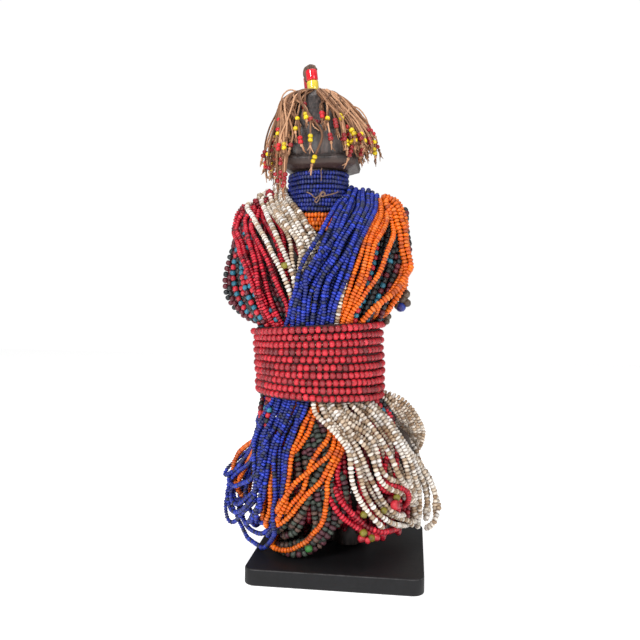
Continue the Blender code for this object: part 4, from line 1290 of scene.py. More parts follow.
def tube_glass_material(name, colour, pale):
    """A glossy moulded glass tube with faint pale blotches."""
    material, shader, add = material_nodes(name, 0.12)
    share = eased(add, noise_value(add, 260.0, 2.0), 0.5, 0.8, 0.0, 0.5)
    feed(shader, "Base Color", mix_colour(add, share, colour, pale))
    shader.inputs["Coat Weight"].default_value = 0.4
    shader.inputs["Coat Roughness"].default_value = 0.08
    return material


# The base board

def make_base():
    """The board, its number 1 where the worn rim is."""
    shape = bmesh.new()
    bmesh.ops.create_cube(shape, size=1.0)
    bmesh.ops.scale(shape, vec=(BASE_SIDE, BASE_SIDE, BASE_HEIGHT), verts=shape.verts)
    bmesh.ops.translate(shape, vec=(0.0, 0.0, BASE_HEIGHT / 2), verts=shape.verts)
    upright = [e for e in shape.edges if abs(e.verts[0].co.z - e.verts[1].co.z) > BASE_HEIGHT / 2]
    bmesh.ops.bevel(shape, geom=upright, offset=BASE_CORNER, segments=14, profile=0.5, affect="EDGES")
    rims = [e for e in shape.edges if abs(e.verts[0].co.z - e.verts[1].co.z) < 1e-5]
    bmesh.ops.bevel(shape, geom=rims, offset=BASE_RIM, segments=4, profile=0.5, affect="EDGES")
    bmesh.ops.triangulate(shape, faces=[face for face in shape.faces if len(face.verts) > 4])
    bmesh.ops.subdivide_edges(shape, edges=[e for e in shape.edges if e.calc_length() > 0.02], cuts=3)
    mesh = bpy.data.meshes.new("display_board")
    shape.to_mesh(mesh)
    shape.free()
    half = BASE_SIDE / 2
    values = []
    for vertex in mesh.vertices:
        rise = min(abs(vertex.co.z - BASE_HEIGHT), vertex.co.z)
        inwards = half - max(abs(vertex.co.x), abs(vertex.co.y))
        on_rim = 0.0001 < rise < 0.0008 and inwards < BASE_CORNER * 0.3
        values.append(1.0 if on_rim else 0.0)
    layer = mesh.attributes.new("tone", "FLOAT", "POINT")
    layer.data.foreach_set("value", values)
    mesh.shade_smooth()
    mesh.set_sharp_from_angle(angle=math.radians(35.0))
    mesh.materials.append(base_material())
    finish_piece(placed("display_board", mesh), "base_black", "display_base")


def finish_piece(thing, slot, *nodes):
    """Puts a piece on the body, in place of the nodes it stands for; its slot is not used."""
    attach(thing, "root")
    if nodes:
        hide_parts(*nodes)


# The carved figure

def oval(centre, half_x, half_y, sides):
    """Points round an oval, from the front to the picture's right."""
    points = []
    for index in range(sides):
        angle = 2 * math.pi * index / sides
        x = centre[0] + half_x * math.sin(angle)
        y = centre[1] - half_y * math.cos(angle)
        points.append(Vector((x, y, centre[2])))
    return points


def add_loft(shape, rings):
    """Adds a closed skin over rings of points."""
    loops = [[shape.verts.new(point) for point in ring] for ring in rings]
    for low, high in zip(loops, loops[1:]):
        for index in range(len(low)):
            after = (index + 1) % len(low)
            shape.faces.new((low[index], low[after], high[after], high[index]))
    shape.faces.new(loops[0][::-1])
    shape.faces.new(loops[-1])


def add_limb(shape, stations, sides=20):
    """Adds a limb through stations: place, half width and half depth."""
    centres = [Vector(station[:3]) for station in stations]
    depth = Vector((0.0, 1.0, 0.0))
    rings = []
    for index, station in enumerate(stations):
        run = (centres[min(index + 1, len(centres) - 1)] - centres[max(index - 1, 0)]).normalized()
        width = depth.cross(run).normalized()
        ring = []
        for step in range(sides):
            angle = 2 * math.pi * step / sides
            out = width * station[3] * math.cos(angle)
            ring.append(centres[index] + out + depth * station[4] * math.sin(angle))
        rings.append(ring)
    add_loft(shape, rings)


# The trunk's sections: height, middle, half width and half depth
TRUNK = [(0.0660, 0.0080, 0.0260, 0.0200), (0.0800, 0.0040, 0.0280, 0.0235), (0.0900, 0.0, 0.0249, 0.0249),
         (0.1421, 0.0, 0.0249, 0.0249), (0.1640, 0.0, 0.0310, 0.0290), (0.1830, 0.0, 0.0305, 0.0245),
         (0.1942, 0.0, 0.0182, 0.0182), (0.1944, 0.0, NECK_RADIUS, NECK_RADIUS),
         (HEAD_LOW + 0.0030, 0.0, NECK_RADIUS, NECK_RADIUS)]
# The head's sections: height, half width, half depth and chamfer
HEAD = [(0.2330, 0.0180, 0.0180, 0.0070), (0.2352, 0.0232, 0.0218, 0.0062), (0.2382, 0.0238, 0.0230, 0.0060),
        (0.2398, 0.0234, 0.0226, 0.0060), (0.2412, 0.0226, 0.0210, 0.0060), (0.2600, 0.0212, 0.0200, 0.0070),
        (0.2700, 0.0182, 0.0178, 0.0070), (0.2790, 0.0130, 0.0135, 0.0055), (0.2836, 0.0078, 0.0082, 0.0034)]
HEAD_X = 0.0018
# Half of the arms and legs, from the middle outwards: place, half width and half depth
ARM = [(0.0130, 0.0, 0.1800, 0.0095, 0.0120), (0.0250, 0.0, 0.1860, 0.0098, 0.0125),
       (0.0345, 0.0, 0.1890, 0.0105, 0.0125), (0.0410, 0.0, 0.1810, 0.0082, 0.0105),
       (0.0440, 0.0, 0.1660, 0.0068, 0.0082), (0.0445, -0.001, 0.1560, 0.0064, 0.0075),
       (0.0390, -0.002, 0.1495, 0.0056, 0.0062), (0.0200, -0.002, 0.1475, 0.0055, 0.0075)]
LEG = [(0.0060, 0.0, 0.0740, 0.0130, 0.0190), (0.0210, 0.0, 0.0670, 0.0150, 0.0200),
       (0.0330, 0.0, 0.0570, 0.0180, 0.0190), (0.0365, 0.0, 0.0480, 0.0185, 0.0180),
       (0.0270, 0.001, 0.0350, 0.0130, 0.0145), (0.0145, 0.001, 0.0180, 0.0085, 0.0110),
       (0.0098, -0.001, 0.0080, 0.0094, 0.0128), (0.0098, -0.001, 0.0003, 0.0092, 0.0130)]
WOOD_VOXEL = 0.0015
SOLE = 0.0015
HEAD_MESH = 0.0016


def head_mesh():
    """The head as a chamfered block with worn edges, its faces cut finely for the chisel marks."""
    shape = bmesh.new()
    rings = []
    for z, wide, deep, cut in HEAD:
        corners = [(wide - cut, -deep), (wide, cut - deep), (wide, deep - cut), (wide - cut, deep),
                   (cut - wide, deep), (-wide, deep - cut), (-wide, cut - deep), (cut - wide, -deep)]
        rings.append([Vector((x + HEAD_X, y, z)) for x, y in corners])
    add_loft(shape, rings)
    bmesh.ops.recalc_face_normals(shape, faces=shape.faces)
    sharp = [edge for edge in shape.edges if edge.calc_face_angle(0.0) > math.radians(20.0)]
    bmesh.ops.bevel(shape, geom=sharp, offset=0.00035, segments=1, affect="EDGES")
    bmesh.ops.triangulate(shape, faces=[face for face in shape.faces if len(face.verts) > 4])
    for _ in range(3):
        long_edges = [edge for edge in shape.edges if edge.calc_length() > HEAD_MESH]
        bmesh.ops.subdivide_edges(shape, edges=long_edges, cuts=1, use_grid_fill=True)
    shape.normal_update()
    for vertex in shape.verts:
        at = vertex.co * 130.0
        vertex.co += vertex.normal * (noise.noise(at) * 0.00030 + noise.noise(at * 3.0) * 0.00012)
    mesh = bpy.data.meshes.new("head_cage")
    shape.to_mesh(mesh)
    shape.free()
    return mesh


def limb_cage():
    """The trunk, arms and legs as lofts that run into each other, in one object."""
    shape = bmesh.new()
    add_loft(shape, [oval((x, 0.0, z), half_x, half_y, 24) for z, x, half_x, half_y in TRUNK])
    for side in (-1, 1):
        add_limb(shape, [(side * x, y, z, wide, deep) for x, y, z, wide, deep in ARM])
        add_limb(shape, [(HIP_X + side * x, y, z, wide, deep) for x, y, z, wide, deep in LEG])
    bmesh.ops.recalc_face_normals(shape, faces=shape.faces)
    mesh = bpy.data.meshes.new("wood_cage")
    shape.to_mesh(mesh)
    shape.free()
    return placed("wood_cage", mesh)


def fused(cage):
    """The cage as one fused and softened mesh; the cage itself goes."""
    step = cage.modifiers.new("fuse", "REMESH")
    step.mode = "VOXEL"
    step.voxel_size = WOOD_VOXEL * 1.0
    soften = cage.modifiers.new("soften", "SMOOTH")
    soften.factor = 0.5
    soften.iterations = 2
    bpy.context.view_layer.update()
    graph = bpy.context.evaluated_depsgraph_get()
    mesh = bpy.data.meshes.new_from_object(cage.evaluated_get(graph))
    bpy.data.objects.remove(cage)
    return mesh


def wear(mesh):
    """Makes the wood's surface a little uneven, but not the soles."""
    normals = [vertex.normal.copy() for vertex in mesh.vertices]
    for vertex, normal in zip(mesh.vertices, normals):
        if vertex.co.z > SOLE:
            at = vertex.co * 90.0
            rough = noise.noise(at) * 0.00035 + noise.noise(at * 4.0) * 0.00012
            vertex.co += normal * (rough - 0.0001)


def make_wood():
    """The carved figure: the fused limbs with the head's block."""
    final = fused(limb_cage())
    wear(final)
    joined = bmesh.new()
    joined.from_mesh(final)
    joined.from_mesh(head_mesh())
    joined.to_mesh(final)
    joined.free()
    final.transform(FIGURE)
    for vertex in final.vertices:
        vertex.co.z = max(vertex.co.z, BASE_HEIGHT + 0.0001)
    final.shade_smooth()
    final.set_sharp_from_angle(angle=math.radians(38.0))
    final.materials.append(wood_material())
    finish_piece(placed("carved_figure", final), "carved_wood", "wood_figure")


# Rows round the neck and the waist

ROW_SPREAD = 0.06


def ring_row(level, radius, bead_length, tilt=(0.0, 0.0), shift=(0.0, 0.0), uneven=0.0003, seed=0.0):
    """Places, directions and lengths of beads on one round row."""
    count = int(round(2 * math.pi * radius / bead_length))
    angles = 2 * math.pi * (np.arange(count) + dice.random()) / count
    flow = np.array([noise.noise(Vector((math.cos(a) * 2, math.sin(a) * 2, seed))) for a in angles])
    ripple = np.array([noise.noise(Vector((math.cos(a) * 5, math.sin(a) * 5, seed + 9.0))) for a in angles])
    across = radius + uneven * flow * 2.0
    spots = np.stack([
        np.cos(angles) * across + shift[0],
        np.sin(angles) * across + shift[1],
        level + tilt[0] * np.cos(angles) + tilt[1] * np.sin(angles) + uneven * (flow + ripple * 0.7),
    ], axis=1)
    axes = np.stack([-np.sin(angles), np.cos(angles), np.zeros(count)], axis=1)
    return spots, axes, np.full(count, 2 * math.pi * radius / count)


def gather_rows(rows, radius):
    """The beads of many rows together, each a little uneven."""
    spots = np.vstack([row[0] for row in rows])
    axes = np.vstack([row[1] for row in rows])
    lengths = np.concatenate([row[2] for row in rows])
    radii = radius * (1.0 + ROW_SPREAD * dice.uniform(-1.0, 1.0, len(spots)))
    return spots, axes + dice.normal(0.0, 0.05, axes.shape), radii, lengths


BELT_BEAD_RADIUS = 0.00213
BELT_BEAD_LENGTH = 0.00385
BELT_BEAD_OUT = 0.0019
BELT_DROP = 0.0014
BELT_FAN = 0.00040
BELT_SHIFT = 0.0014
BELT_SHIFT_A_ROW = 0.00018
TOP_ROW_OUT = 0.0012
TOP_ROW_TILT = 0.0005
BELT_THREAD = 0.0009
# Dark rings behind the belt's rows: painted shade for the gaps between its beads.
GAP_SHADE_WIDTH = 0.0026
GAP_SHADE_OUT = 0.0006
GAP_SHADE_PITCH = 0.96


def belt_row(row):
    """One row of the belt; the rows fan out a little to the picture's right."""
    off_middle = row - (BELT_ROWS - 1) / 2
    level = BELT_MIDDLE - BELT_DROP + off_middle * BELT_PITCH
    radius = BELT_INNER + BELT_BEAD_OUT + chance.uniform(-0.0003, 0.0004) + 0.0003 * (row % 2)
    tilt = (off_middle * BELT_FAN + chance.uniform(-0.0002, 0.0002), chance.uniform(-0.0002, 0.0002))
    shift_x = BELT_SHIFT - BELT_SHIFT_A_ROW * row + chance.uniform(-0.0003, 0.0003)
    shift = (shift_x, chance.uniform(-0.0004, 0.0004))
    if row == BELT_ROWS - 1:
        radius += TOP_ROW_OUT
        tilt = (tilt[0] + TOP_ROW_TILT, 0.0)
    return ring_row(level, radius, BELT_BEAD_LENGTH, tilt, shift, 0.0004, row * 1.7)


def make_belt(materials):
    """The belt's beads, the threads through them and dark tubes behind them that paint shade into the gaps
    between the rows.
    """
    rows = [belt_row(row) for row in range(BELT_ROWS)]
    spots, axes, radii, lengths = gather_rows(rows, BELT_BEAD_RADIUS)
    tones = dice.random(len(spots))
    row_tone = np.concatenate([np.full(len(row[0]), chance.uniform(-0.15, 0.15)) for row in rows])
    tones = np.clip(tones * 0.8 + 0.1 + row_tone, 0.0, 1.0)
    lengths = lengths * dice.uniform(0.86, 0.98, len(lengths))
    thing = bead_object("belt_beads", spots, axes, radii, lengths, tones, materials["belt"], ROUND_PROFILE, 8)
    finish_piece(thing, "belt_red_bead", "waist_belt")
    threads = [np.vstack([row[0], row[0][:1]]) for row in rows]
    thread = tubes_object("belt_threads", threads, [BELT_THREAD] * len(threads), materials["thread"], 4)
    finish_piece(thread, "fibre_cord")
    # Dark rings behind the rows, painted shade seen through the gaps between the beads.
    gap_shade_rings = []
    turns = np.linspace(0.0, 2 * math.pi, 97)
    radius = BELT_INNER + GAP_SHADE_OUT
    for row in range(BELT_ROWS + 1):
        off_middle = row - BELT_ROWS / 2
        level = BELT_MIDDLE - BELT_DROP + off_middle * BELT_PITCH * GAP_SHADE_PITCH
        heights = level + off_middle * BELT_FAN * np.cos(turns)
        gap_shade_rings.append(np.stack([radius * np.cos(turns), radius * np.sin(turns), heights], axis=1))
    gap_shade = tubes_object("belt_gap_shade", gap_shade_rings, [GAP_SHADE_WIDTH] * len(gap_shade_rings), materials["gap_shade"], 6)
    finish_piece(gap_shade, "fibre_cord")


NECK_GAP = 0.0003
BLUE_ROW_OUT = 0.00155
BLUE_ROW_BEAD = (0.0019, 0.00152)
ORANGE_ROW_OUT = 0.0018
ORANGE_ROW_STEP = 0.0002
ORANGE_ROW_BEAD = (0.00205, 0.00165)


def make_neck(materials):
    """The blue rows round the neck and the orange ones below them."""
    rows = []
    for row in range(BLUE_ROWS):
        level = COLLAR_TOP + (row + 0.5) * SEED_PITCH + NECK_GAP
        tilt = (chance.uniform(-0.0004, 0.0004), chance.uniform(-0.0003, 0.0003))
        radius = NECK_RADIUS + NECK_GAP + BLUE_ROW_OUT
        rows.append(ring_row(level, radius, BLUE_ROW_BEAD[0], tilt, (0.0, 0.0), 0.0003, row * 2.3))
    spots, axes, radii, lengths = gather_rows(rows, BLUE_ROW_BEAD[1])
    tones = 0.12 + 0.42 * dice.random(len(spots))
    thing = bead_object("neck_beads_blue", spots, axes, radii, lengths, tones, materials["blue"],
                        SEED_PROFILE, 8)
    finish_piece(thing, "blue_bead", "neck_coils_blue")
    rows = []
    for row in range(ORANGE_ROWS):
        level = COLLAR_LOW + (row + 0.5) * SEED_PITCH
        radius = NECK_RADIUS + NECK_GAP + ORANGE_ROW_OUT + ORANGE_ROW_STEP * (ORANGE_ROWS - row)
        seed = 40 + row * 2.3
        rows.append(ring_row(level, radius, ORANGE_ROW_BEAD[0], (0.0, 0.0004), (0.0, -0.0003), 0.0003, seed))
    spots, axes, radii, lengths = gather_rows(rows, ORANGE_ROW_BEAD[1])
    tones = dice.random(len(spots))
    thing = bead_object("collar_beads_orange", spots, axes, radii, lengths, tones, materials["orange"],
                        SEED_PROFILE, 8)
    finish_piece(thing, "orange_bead", "collar_coils_orange")


# A fibre thread tied round the neck coils, in pixels
NECK_SURFACE = np.array([(0.1900, 0.0200, 0.0200, 0.0, 0.0), (0.2400, 0.0200, 0.0200, 0.0, 0.0)])
NECK_THREAD_SIZES = [0.0008, 0.0012, 0.0008, 0.0008, 0.0006]
NECK_THREADS = [
    [(306.7, 192.0), (311.0, 194.0), (315.0, 197.6), (319.0, 196.0), (322.0, 193.6)],
    [(320.0, 195.5), (322.0, 192.0), (325.0, 193.5), (323.5, 196.5), (320.5, 195.0), (322.5, 193.0)],
    [(324.0, 196.0), (330.0, 194.6), (334.0, 193.5), (338.5, 191.8)],
    [(318.0, 197.0), (314.7, 201.0), (316.5, 202.5), (319.0, 199.0), (320.5, 196.0)],
    [(321.0, 181.0), (321.5, 176.0), (321.0, 171.0), (322.0, 168.0)],
]


def make_neck_threads(materials):
    """The loose threads and the knot in front of the neck."""
    paths = []
    for route in NECK_THREADS:
        paths.append(smooth_path([pin(px, py, 0.0004, -1.0, NECK_SURFACE) for px, py in route]))
    tones = [1.0] * len(paths)
    thing = tubes_object("neck_threads", paths, NECK_THREAD_SIZES, materials["leather"], 6, tones)
    finish_piece(thing, "fibre_cord")


# The fringe of fibre cords

HAIR_CORDS = 165
HAIR_UNDER = 74
HAIR_UNDER_DEPTH = 0.0042
CROWN_RING = 0.0085
CORD_STEP = 0.0028
CORD_LEVELS = (0.2810, 0.2755, 0.2690, 0.2600, 0.2500, 0.2400)
TUFT = 0.0052
# Half the angle that stays open over the face: for most cords, and for the ones below
OPEN_FACE = math.radians(26.0)
OPEN_BELOW = math.radians(42.0)
FRINGE_BEAD_RADIUS = 0.00155
FRINGE_BEAD_LENGTH = 0.0026


def hair_point(angle, level, out):
    """A place on the fringe's surface; angle 0 is the front and grows to the picture's right."""
    deep, wide, middle, _ = level_at(HAIR, 0.0, level)
    return Vector((middle + (wide + out) * math.sin(angle), -(deep + out) * math.cos(angle), level))


def crown_point(angle, ring, level):
    """A place on a circle round the crown."""
    return Vector((ring * math.sin(angle), -ring * math.cos(angle), level))


def cord_to(end_angle, end_level, out, loft=0.0, aside=0.0, spread=0.5):
    """A cord's route from the crown over the dome and down to its end."""
    start_angle = end_angle + chance.uniform(-spread, spread) + aside
    ring = CROWN_RING * chance.uniform(0.6, 1.05)
    points = [crown_point(start_angle, ring * 0.6, CROWN - 0.0008),
              crown_point(start_angle, ring, CROWN - 0.0001 + chance.uniform(0.0, 0.0006))]
    for level in CORD_LEVELS:
        if level <= end_level + 0.004:
            break
        share = (CROWN - level) / (CROWN - end_level)
        angle = blend(start_angle, end_angle, min(1.0, share * 1.3))
        lift = out + loft * math.sin(math.pi * min(1.0, share))
        points.append(wobble(hair_point(angle, level, lift), 0.0012, end_angle * 10.0))
    points.append(hair_point(end_angle, end_level, out))
    return points


# Cords seen in the picture, each by its lowest bead: pixel, how many beads, and their tone
TONES = {"r": 0.1, "d": 0.4, "y": 0.7}
HAIR_BEADS = [
    (296.6, 118.9, 1, "y"), (295.6, 128.6, 1, "y"), (304.8, 116, 2, "y"), (277.8, 133.7, 1, "y"),
    (283.9, 146, 2, "y"), (310.4, 137.8, 2, "y"), (315.5, 158.7, 2, "y"), (327.8, 118.4, 1, "y"),
    (340, 117.5, 2, "y"), (351, 132.3, 2, "y"), (354.8, 140, 1, "y"), (364, 140.8, 1, "y"),
    (373.2, 151, 2, "y"), (279, 120, 1, "r"), (278, 130, 1, "r"), (278.8, 147, 2, "r"),
    (281.8, 160.7, 2, "d"), (299.7, 139.8, 2, "r"), (310, 119, 1, "d"), (321.6, 115, 2, "r"),
    (329.8, 136.7, 2, "d"), (335, 124, 3, "d"), (344, 136.7, 2, "d"), (352, 151, 3, "d"),
    (371.6, 132.7, 2, "r"), (358.5, 137, 2, "d"), (368.6, 141, 2, "d"), (265.5, 154, 2, "d"),
    (281, 174, 2, "d"), (284.5, 180, 2, "d"), (278, 181, 1, "d"), (283, 186, 1, "d"), (269, 168, 1, "d"),
    (291, 145, 1, "d"), (362, 152, 2, "d"), (367, 127, 1, "d"), (285.5, 174, 1, "d"), (276, 174, 1, "d"),
]
PARTING = math.radians(34.0)
PARTING_X = 316.5
STRAY_DISTANCE = 0.456
STRAY_LOOPS = [
    [(303, 94), (297, 91.5), (289.5, 89.8), (283, 95), (280.5, 104), (279, 116), (277, 126)],
    [(345, 109), (350, 106.5), (357, 107.6), (363.5, 114), (367.5, 122), (368.5, 131), (368, 138)],
    [(348, 106), (353, 108), (359, 112), (364, 121), (366, 130)],
]


class Fringe:
    """The cords of the fringe and the beads tied in them."""

    def __init__(self):
        self.paths = []
        self.widths = []
        self.beads = []

    def add(self, path, width):
        """Adds one tube: a cord, a knot or a fibre."""
        self.paths.append(path)
        self.widths.append(width)

    def hang(self, points, count, tone):
        """Adds a cord with beads near its end, a knot and a frayed tuft."""
        path = smooth_path(points, CORD_STEP)
        self.add(path, chance.uniform(0.00105, 0.00150))
        run = path[-1] - path[-3]
        run = run / np.linalg.norm(run)
        at = path[-1].copy()
        for _ in range(count):
            self.beads.append((at + run * 0.0012, run + dice.normal(0.0, 0.1, 3), tone))
            at = at + run * FRINGE_BEAD_LENGTH
        down = run * 0.5 + np.array((0.0, 0.0, -0.5)) + dice.normal(0.0, 0.15, 3)
        self.fray(at, down / np.linalg.norm(down))

    def fray(self, at, down):
        """Adds the knot at a cord's end and the fibres that spread from it."""
        knot = at + down * 0.0012
        self.add(np.array([at, at + down * 0.0006, knot, knot + down * 0.0010]),
                 np.array([0.0008, 0.0019, 0.0020, 0.0009]))
        for _ in range(chance.randint(3, 5)):
            spread = down + dice.normal(0.0, 0.22, 3)
            length = TUFT * chance.uniform(0.6, 1.1)
            bend = knot + down * length * 0.5 + dice.normal(0.0, 0.0004, 3)
            self.add(np.array([knot, bend, knot + spread * length]), np.array([0.0009, 0.0008, 0.0004]))


def off_front(angle):
    """How far an angle is from the front."""
    return abs((angle + math.pi) % (2 * math.pi) - math.pi)


def seen_cords(fringe):
    """The cords whose beads show in the picture; those over the face part to both sides."""
    for px, py, count, letter in HAIR_BEADS:
        spot = pin(px, py - 1.8 * count, 0.0012, -1.0, HAIR)
        deep, wide, middle, _ = level_at(HAIR, 0.0, spot.z)
        angle = math.atan2((spot.x - middle) / wide, -spot.y / deep)
        aside = 0.0 if abs(angle) > PARTING else math.copysign(0.75, px - PARTING_X)
        fringe.hang(cord_to(angle, spot.z, 0.0012, 0.0, aside), count, TONES[letter])


def other_cords(fringe):
    """The cords all round the head, few and short ones over the face."""
    for number in range(HAIR_CORDS):
        angle = 2 * math.pi * (number + chance.random()) / HAIR_CORDS
        if off_front(angle) < OPEN_FACE:
            if chance.random() < 0.8:
                continue
            level = chance.uniform(0.265, 0.276)
        else:
            share = 0.5 + math.sin(angle) * 0.5
            level = blend(0.2400, 0.2500, share) + chance.random() ** 1.5 * 0.018
        count = chance.choice((0, 0, 1, 1, 2))
        tone = TONES[chance.choice("rddyy")]
        out = chance.uniform(-0.0060, 0.0010)
        fringe.hang(cord_to(angle, level, out, chance.choice((0.0, 0.0, 0.001, 0.002))), count, tone)


def under_cords(fringe):
    """Plain cords that close the mop from below, apart from the face."""
    for number in range(HAIR_UNDER):
        angle = 2 * math.pi * (number + 0.5) / HAIR_UNDER
        if off_front(angle) > OPEN_BELOW:
            level = chance.uniform(0.246, 0.254)
            fringe.hang(cord_to(angle, level, -HAIR_UNDER_DEPTH, 0.0, 0.0, 0.08), 0, TONES["d"])


def make_hair(materials):
    """The fringe's cords as one object and its beads as another."""
    fringe = Fringe()
    seen_cords(fringe)
    other_cords(fringe)
    under_cords(fringe)
    for route in STRAY_LOOPS:
        spots = [TO_FIGURE @ pixel_point(px, py, STRAY_DISTANCE) for px, py in route]
        fringe.add(smooth_path(spots, 0.0015), 0.00095)
    thing = tubes_object("fibre_fringe", fringe.paths, fringe.widths, materials["fibre"])
    finish_piece(thing, "fibre_cord", "hair_fringe")
    spots, axes, tones = (np.array(column) for column in zip(*fringe.beads))
    radii = FRINGE_BEAD_RADIUS * dice.uniform(0.92, 1.08, len(spots))
    lengths = np.full(len(spots), FRINGE_BEAD_LENGTH)
    thing = bead_object("fringe_beads", spots, axes, radii, lengths, tones, materials["hair"],
                        ROUND_PROFILE, 9)
    finish_piece(thing, "topknot_red")


# The topknot

TOPKNOT_TILT = math.radians(6.0)
TUBE_RADIUS = 0.0037
TUBE_EASE = 0.0007
TUBE_BORE = 0.0021
BORE_WAIST = 0.0019
TUBE_SIDES = 32
TUBE_TOUCH = 0.0003
YELLOW_LENGTH = 0.0066
RED_LENGTH = 0.0068
BACK_LENGTH = 0.0112
KNOT_CORD = 0.0021
KNOT_END = 0.0022


def tube_profile(length):
    """Radius and height round the wall of a tube bead: rounded rims, and a bore that narrows inside."""
    low = []
    high = []
    for step in range(5):
        angle = math.pi / 2 * step / 4
        wide = TUBE_RADIUS - TUBE_EASE
        low.append((wide + TUBE_EASE * math.sin(angle), TUBE_EASE - TUBE_EASE * math.cos(angle)))
        high.append((wide + TUBE_EASE * math.cos(angle), length - TUBE_EASE + TUBE_EASE * math.sin(angle)))
    return low + high + [(TUBE_BORE, length), (BORE_WAIST, length * 0.5), (TUBE_BORE, 0.0)]


def tube_bead(name, node, foot, up, length, material, slot):
    """A glass tube with rounded rims and a real bore."""
    profile = tube_profile(length)
    across = up.cross(Vector((0.0, 1.0, 0.0))).normalized()
    aside = up.cross(across)
    vertices = []
    faces = []
    for ring, (radius, level) in enumerate(profile):
        low = ring * TUBE_SIDES
        high = (ring + 1) % len(profile) * TUBE_SIDES
        for side in range(TUBE_SIDES):
            angle = 2 * math.pi * side / TUBE_SIDES
            vertices.append(foot + up * level + (across * math.cos(angle) + aside * math.sin(angle)) * radius)
            after = (side + 1) % TUBE_SIDES
            faces.append((low + side, high + side, high + after, low + after))
    spots = to_world(np.array([tuple(vertex) for vertex in vertices]))
    thing = mesh_object(name, spots, faces, material)
    thing.data.set_sharp_from_angle(angle=math.radians(50.0))
    finish_piece(thing, slot, node)


def knot_loops(front, front_top, back, back_top, up):
    """The leather strings that run up through the front beads, over and down through the back one."""
    middle = front_top.lerp(back_top, 0.5)
    loops = []
    for number in range(5):
        sway = Vector((blend(-0.0022, 0.0020, number / 4), chance.uniform(-0.0004, 0.0004), 0.0))
        rise = 0.0020 + 0.0007 * (number % 3)
        loops.append([front + up * 0.001, front_top - up * 0.001 + sway * 0.4,
                      front_top + up * rise * 0.8 + sway, middle + up * (rise + 0.0008) + sway * 1.3,
                      back_top + up * rise * 0.6 + sway * 1.2, back_top - up * 0.001 + sway * 0.5,
                      back + up * 0.001])
    return loops


def knot_ends(front_top, up):
    """The two cut ends that are wound over the knot and hang at the picture's left."""
    side = Vector((-0.0036, 0.0, 0.0))
    ends = []
    for shift, drop in ((0.0, 0.0062), (0.0012, 0.0040)):
        ends.append([front_top + Vector((0.0030, -0.0004 + shift, 0.0002)),
                     front_top + up * 0.0026 + Vector((0.0012, shift, 0.0)),
                     front_top + up * 0.0026 + Vector((-0.0018, shift + 0.001, 0.0)),
                     front_top + side + Vector((-0.0003, shift + 0.002, -0.0006)),
                     front_top + side + Vector((0.0002, shift + 0.0028, -drop))])
    return ends


def make_topknot(materials):
    """Three tube beads on the crown, tied together by leather strings."""
    up = Vector((-math.sin(TOPKNOT_TILT), 0.0, math.cos(TOPKNOT_TILT)))
    lift = TUBE_RADIUS * math.sin(TOPKNOT_TILT) + TUBE_TOUCH
    front = Vector((-0.0030, -0.0018, CROWN + lift - 0.0002))
    toward_back = Vector((-math.cos(TOPKNOT_TILT) * 0.35, 0.937, -math.sin(TOPKNOT_TILT) * 0.35))
    back = front + toward_back * (2 * TUBE_RADIUS + TUBE_TOUCH)
    back += up * ((CROWN + lift - back.z) / up.z)
    second = front + up * (YELLOW_LENGTH + TUBE_TOUCH)
    yellow = tube_glass_material("yellow_tube_glass", srgb(240, 215, 70), srgb(252, 240, 160))
    red = tube_glass_material("red_tube_glass", srgb(225, 25, 42), srgb(240, 110, 110))
    old_red = tube_glass_material("old_red_tube_glass", srgb(190, 50, 60), srgb(225, 130, 130))
    tube_bead("tube_bead_yellow", "topknot_bead_yellow", front, up, YELLOW_LENGTH, yellow, "topknot_yellow")
    tube_bead("tube_bead_red", "topknot_bead_red", second, up, RED_LENGTH, red, "topknot_red")
    tube_bead("tube_bead_back", "topknot_bead_back", back, up, BACK_LENGTH, old_red, "topknot_red")
    front_top = front + up * (YELLOW_LENGTH + RED_LENGTH + TUBE_TOUCH)
    back_top = back + up * BACK_LENGTH
    loops = [smooth_path(route) for route in knot_loops(front, front_top, back, back_top, up)]
    ends = [smooth_path(route, 0.0005) for route in knot_ends(front_top, up)]
    sizes = [KNOT_CORD] * len(loops) + [KNOT_END] * len(ends)
    thing = tubes_object("leather_knot", loops + ends, sizes, materials["leather"], 8)
    finish_piece(thing, "dark_leather", "topknot_cord")


# The hanks as objects

BEAD_SHARE = 0.97

# The pieces of the hanks: their colour, their slot and the nodes they stand for
PIECES = {
    "blue_strands_upper": ("blue", "blue_bead", ("blue_hank",)),
    "blue_strands_skirt": ("blue", "blue_bead", ()),
    "orange_strands_upper": ("orange", "orange_bead", ("orange_hank",)),
    "orange_strands_skirt": ("orange", "orange_bead", ()),
    "cream_strands_upper": ("cream", "cream_bead", ("cream_hank",)),
    "cream_strands_skirt": ("cream", "cream_bead", ()),
    "red_strands_upper": ("red", "red_bead", ("red_hank",)),
    "red_strands_skirt": ("red", "red_bead", ()),
    "mixed_strands_left": ("mixed", "mixed_bead", ("mixed_hank_left",)),
    "mixed_strands_right": ("mixed", "mixed_bead", ("mixed_hank_right",)),
    "mixed_strands_skirt": ("mixed", "mixed_bead", ()),
    "dark_bead_loops": ("dark", "dark_bead", ("dark_loops_front", "dark_loops_back")),
}


def make_hanks(materials):
    """All strands, settled together, then one object for each piece."""
    make_chest()
    make_skirt()
    settle(strands)
    for piece, (colour, slot, nodes) in PIECES.items():
        group = [strand for strand in strands if strand.piece == piece]
        spots = np.vstack([strand.spots for strand in group])
        axes = np.vstack([strand_axes(strand.spots) for strand in group])
        radii = np.concatenate([strand.radii for strand in group])
        lengths = np.concatenate([strand.lengths for strand in group]) * BEAD_SHARE
        tones = np.concatenate([strand.tones for strand in group])
        profile = ROUND_PROFILE if colour in ("mixed", "dark") else SEED_PROFILE
        thing = bead_object(piece, spots, axes, radii, lengths, tones, materials[colour], profile)
        finish_piece(thing, slot, *nodes)


# Camera, light and floor

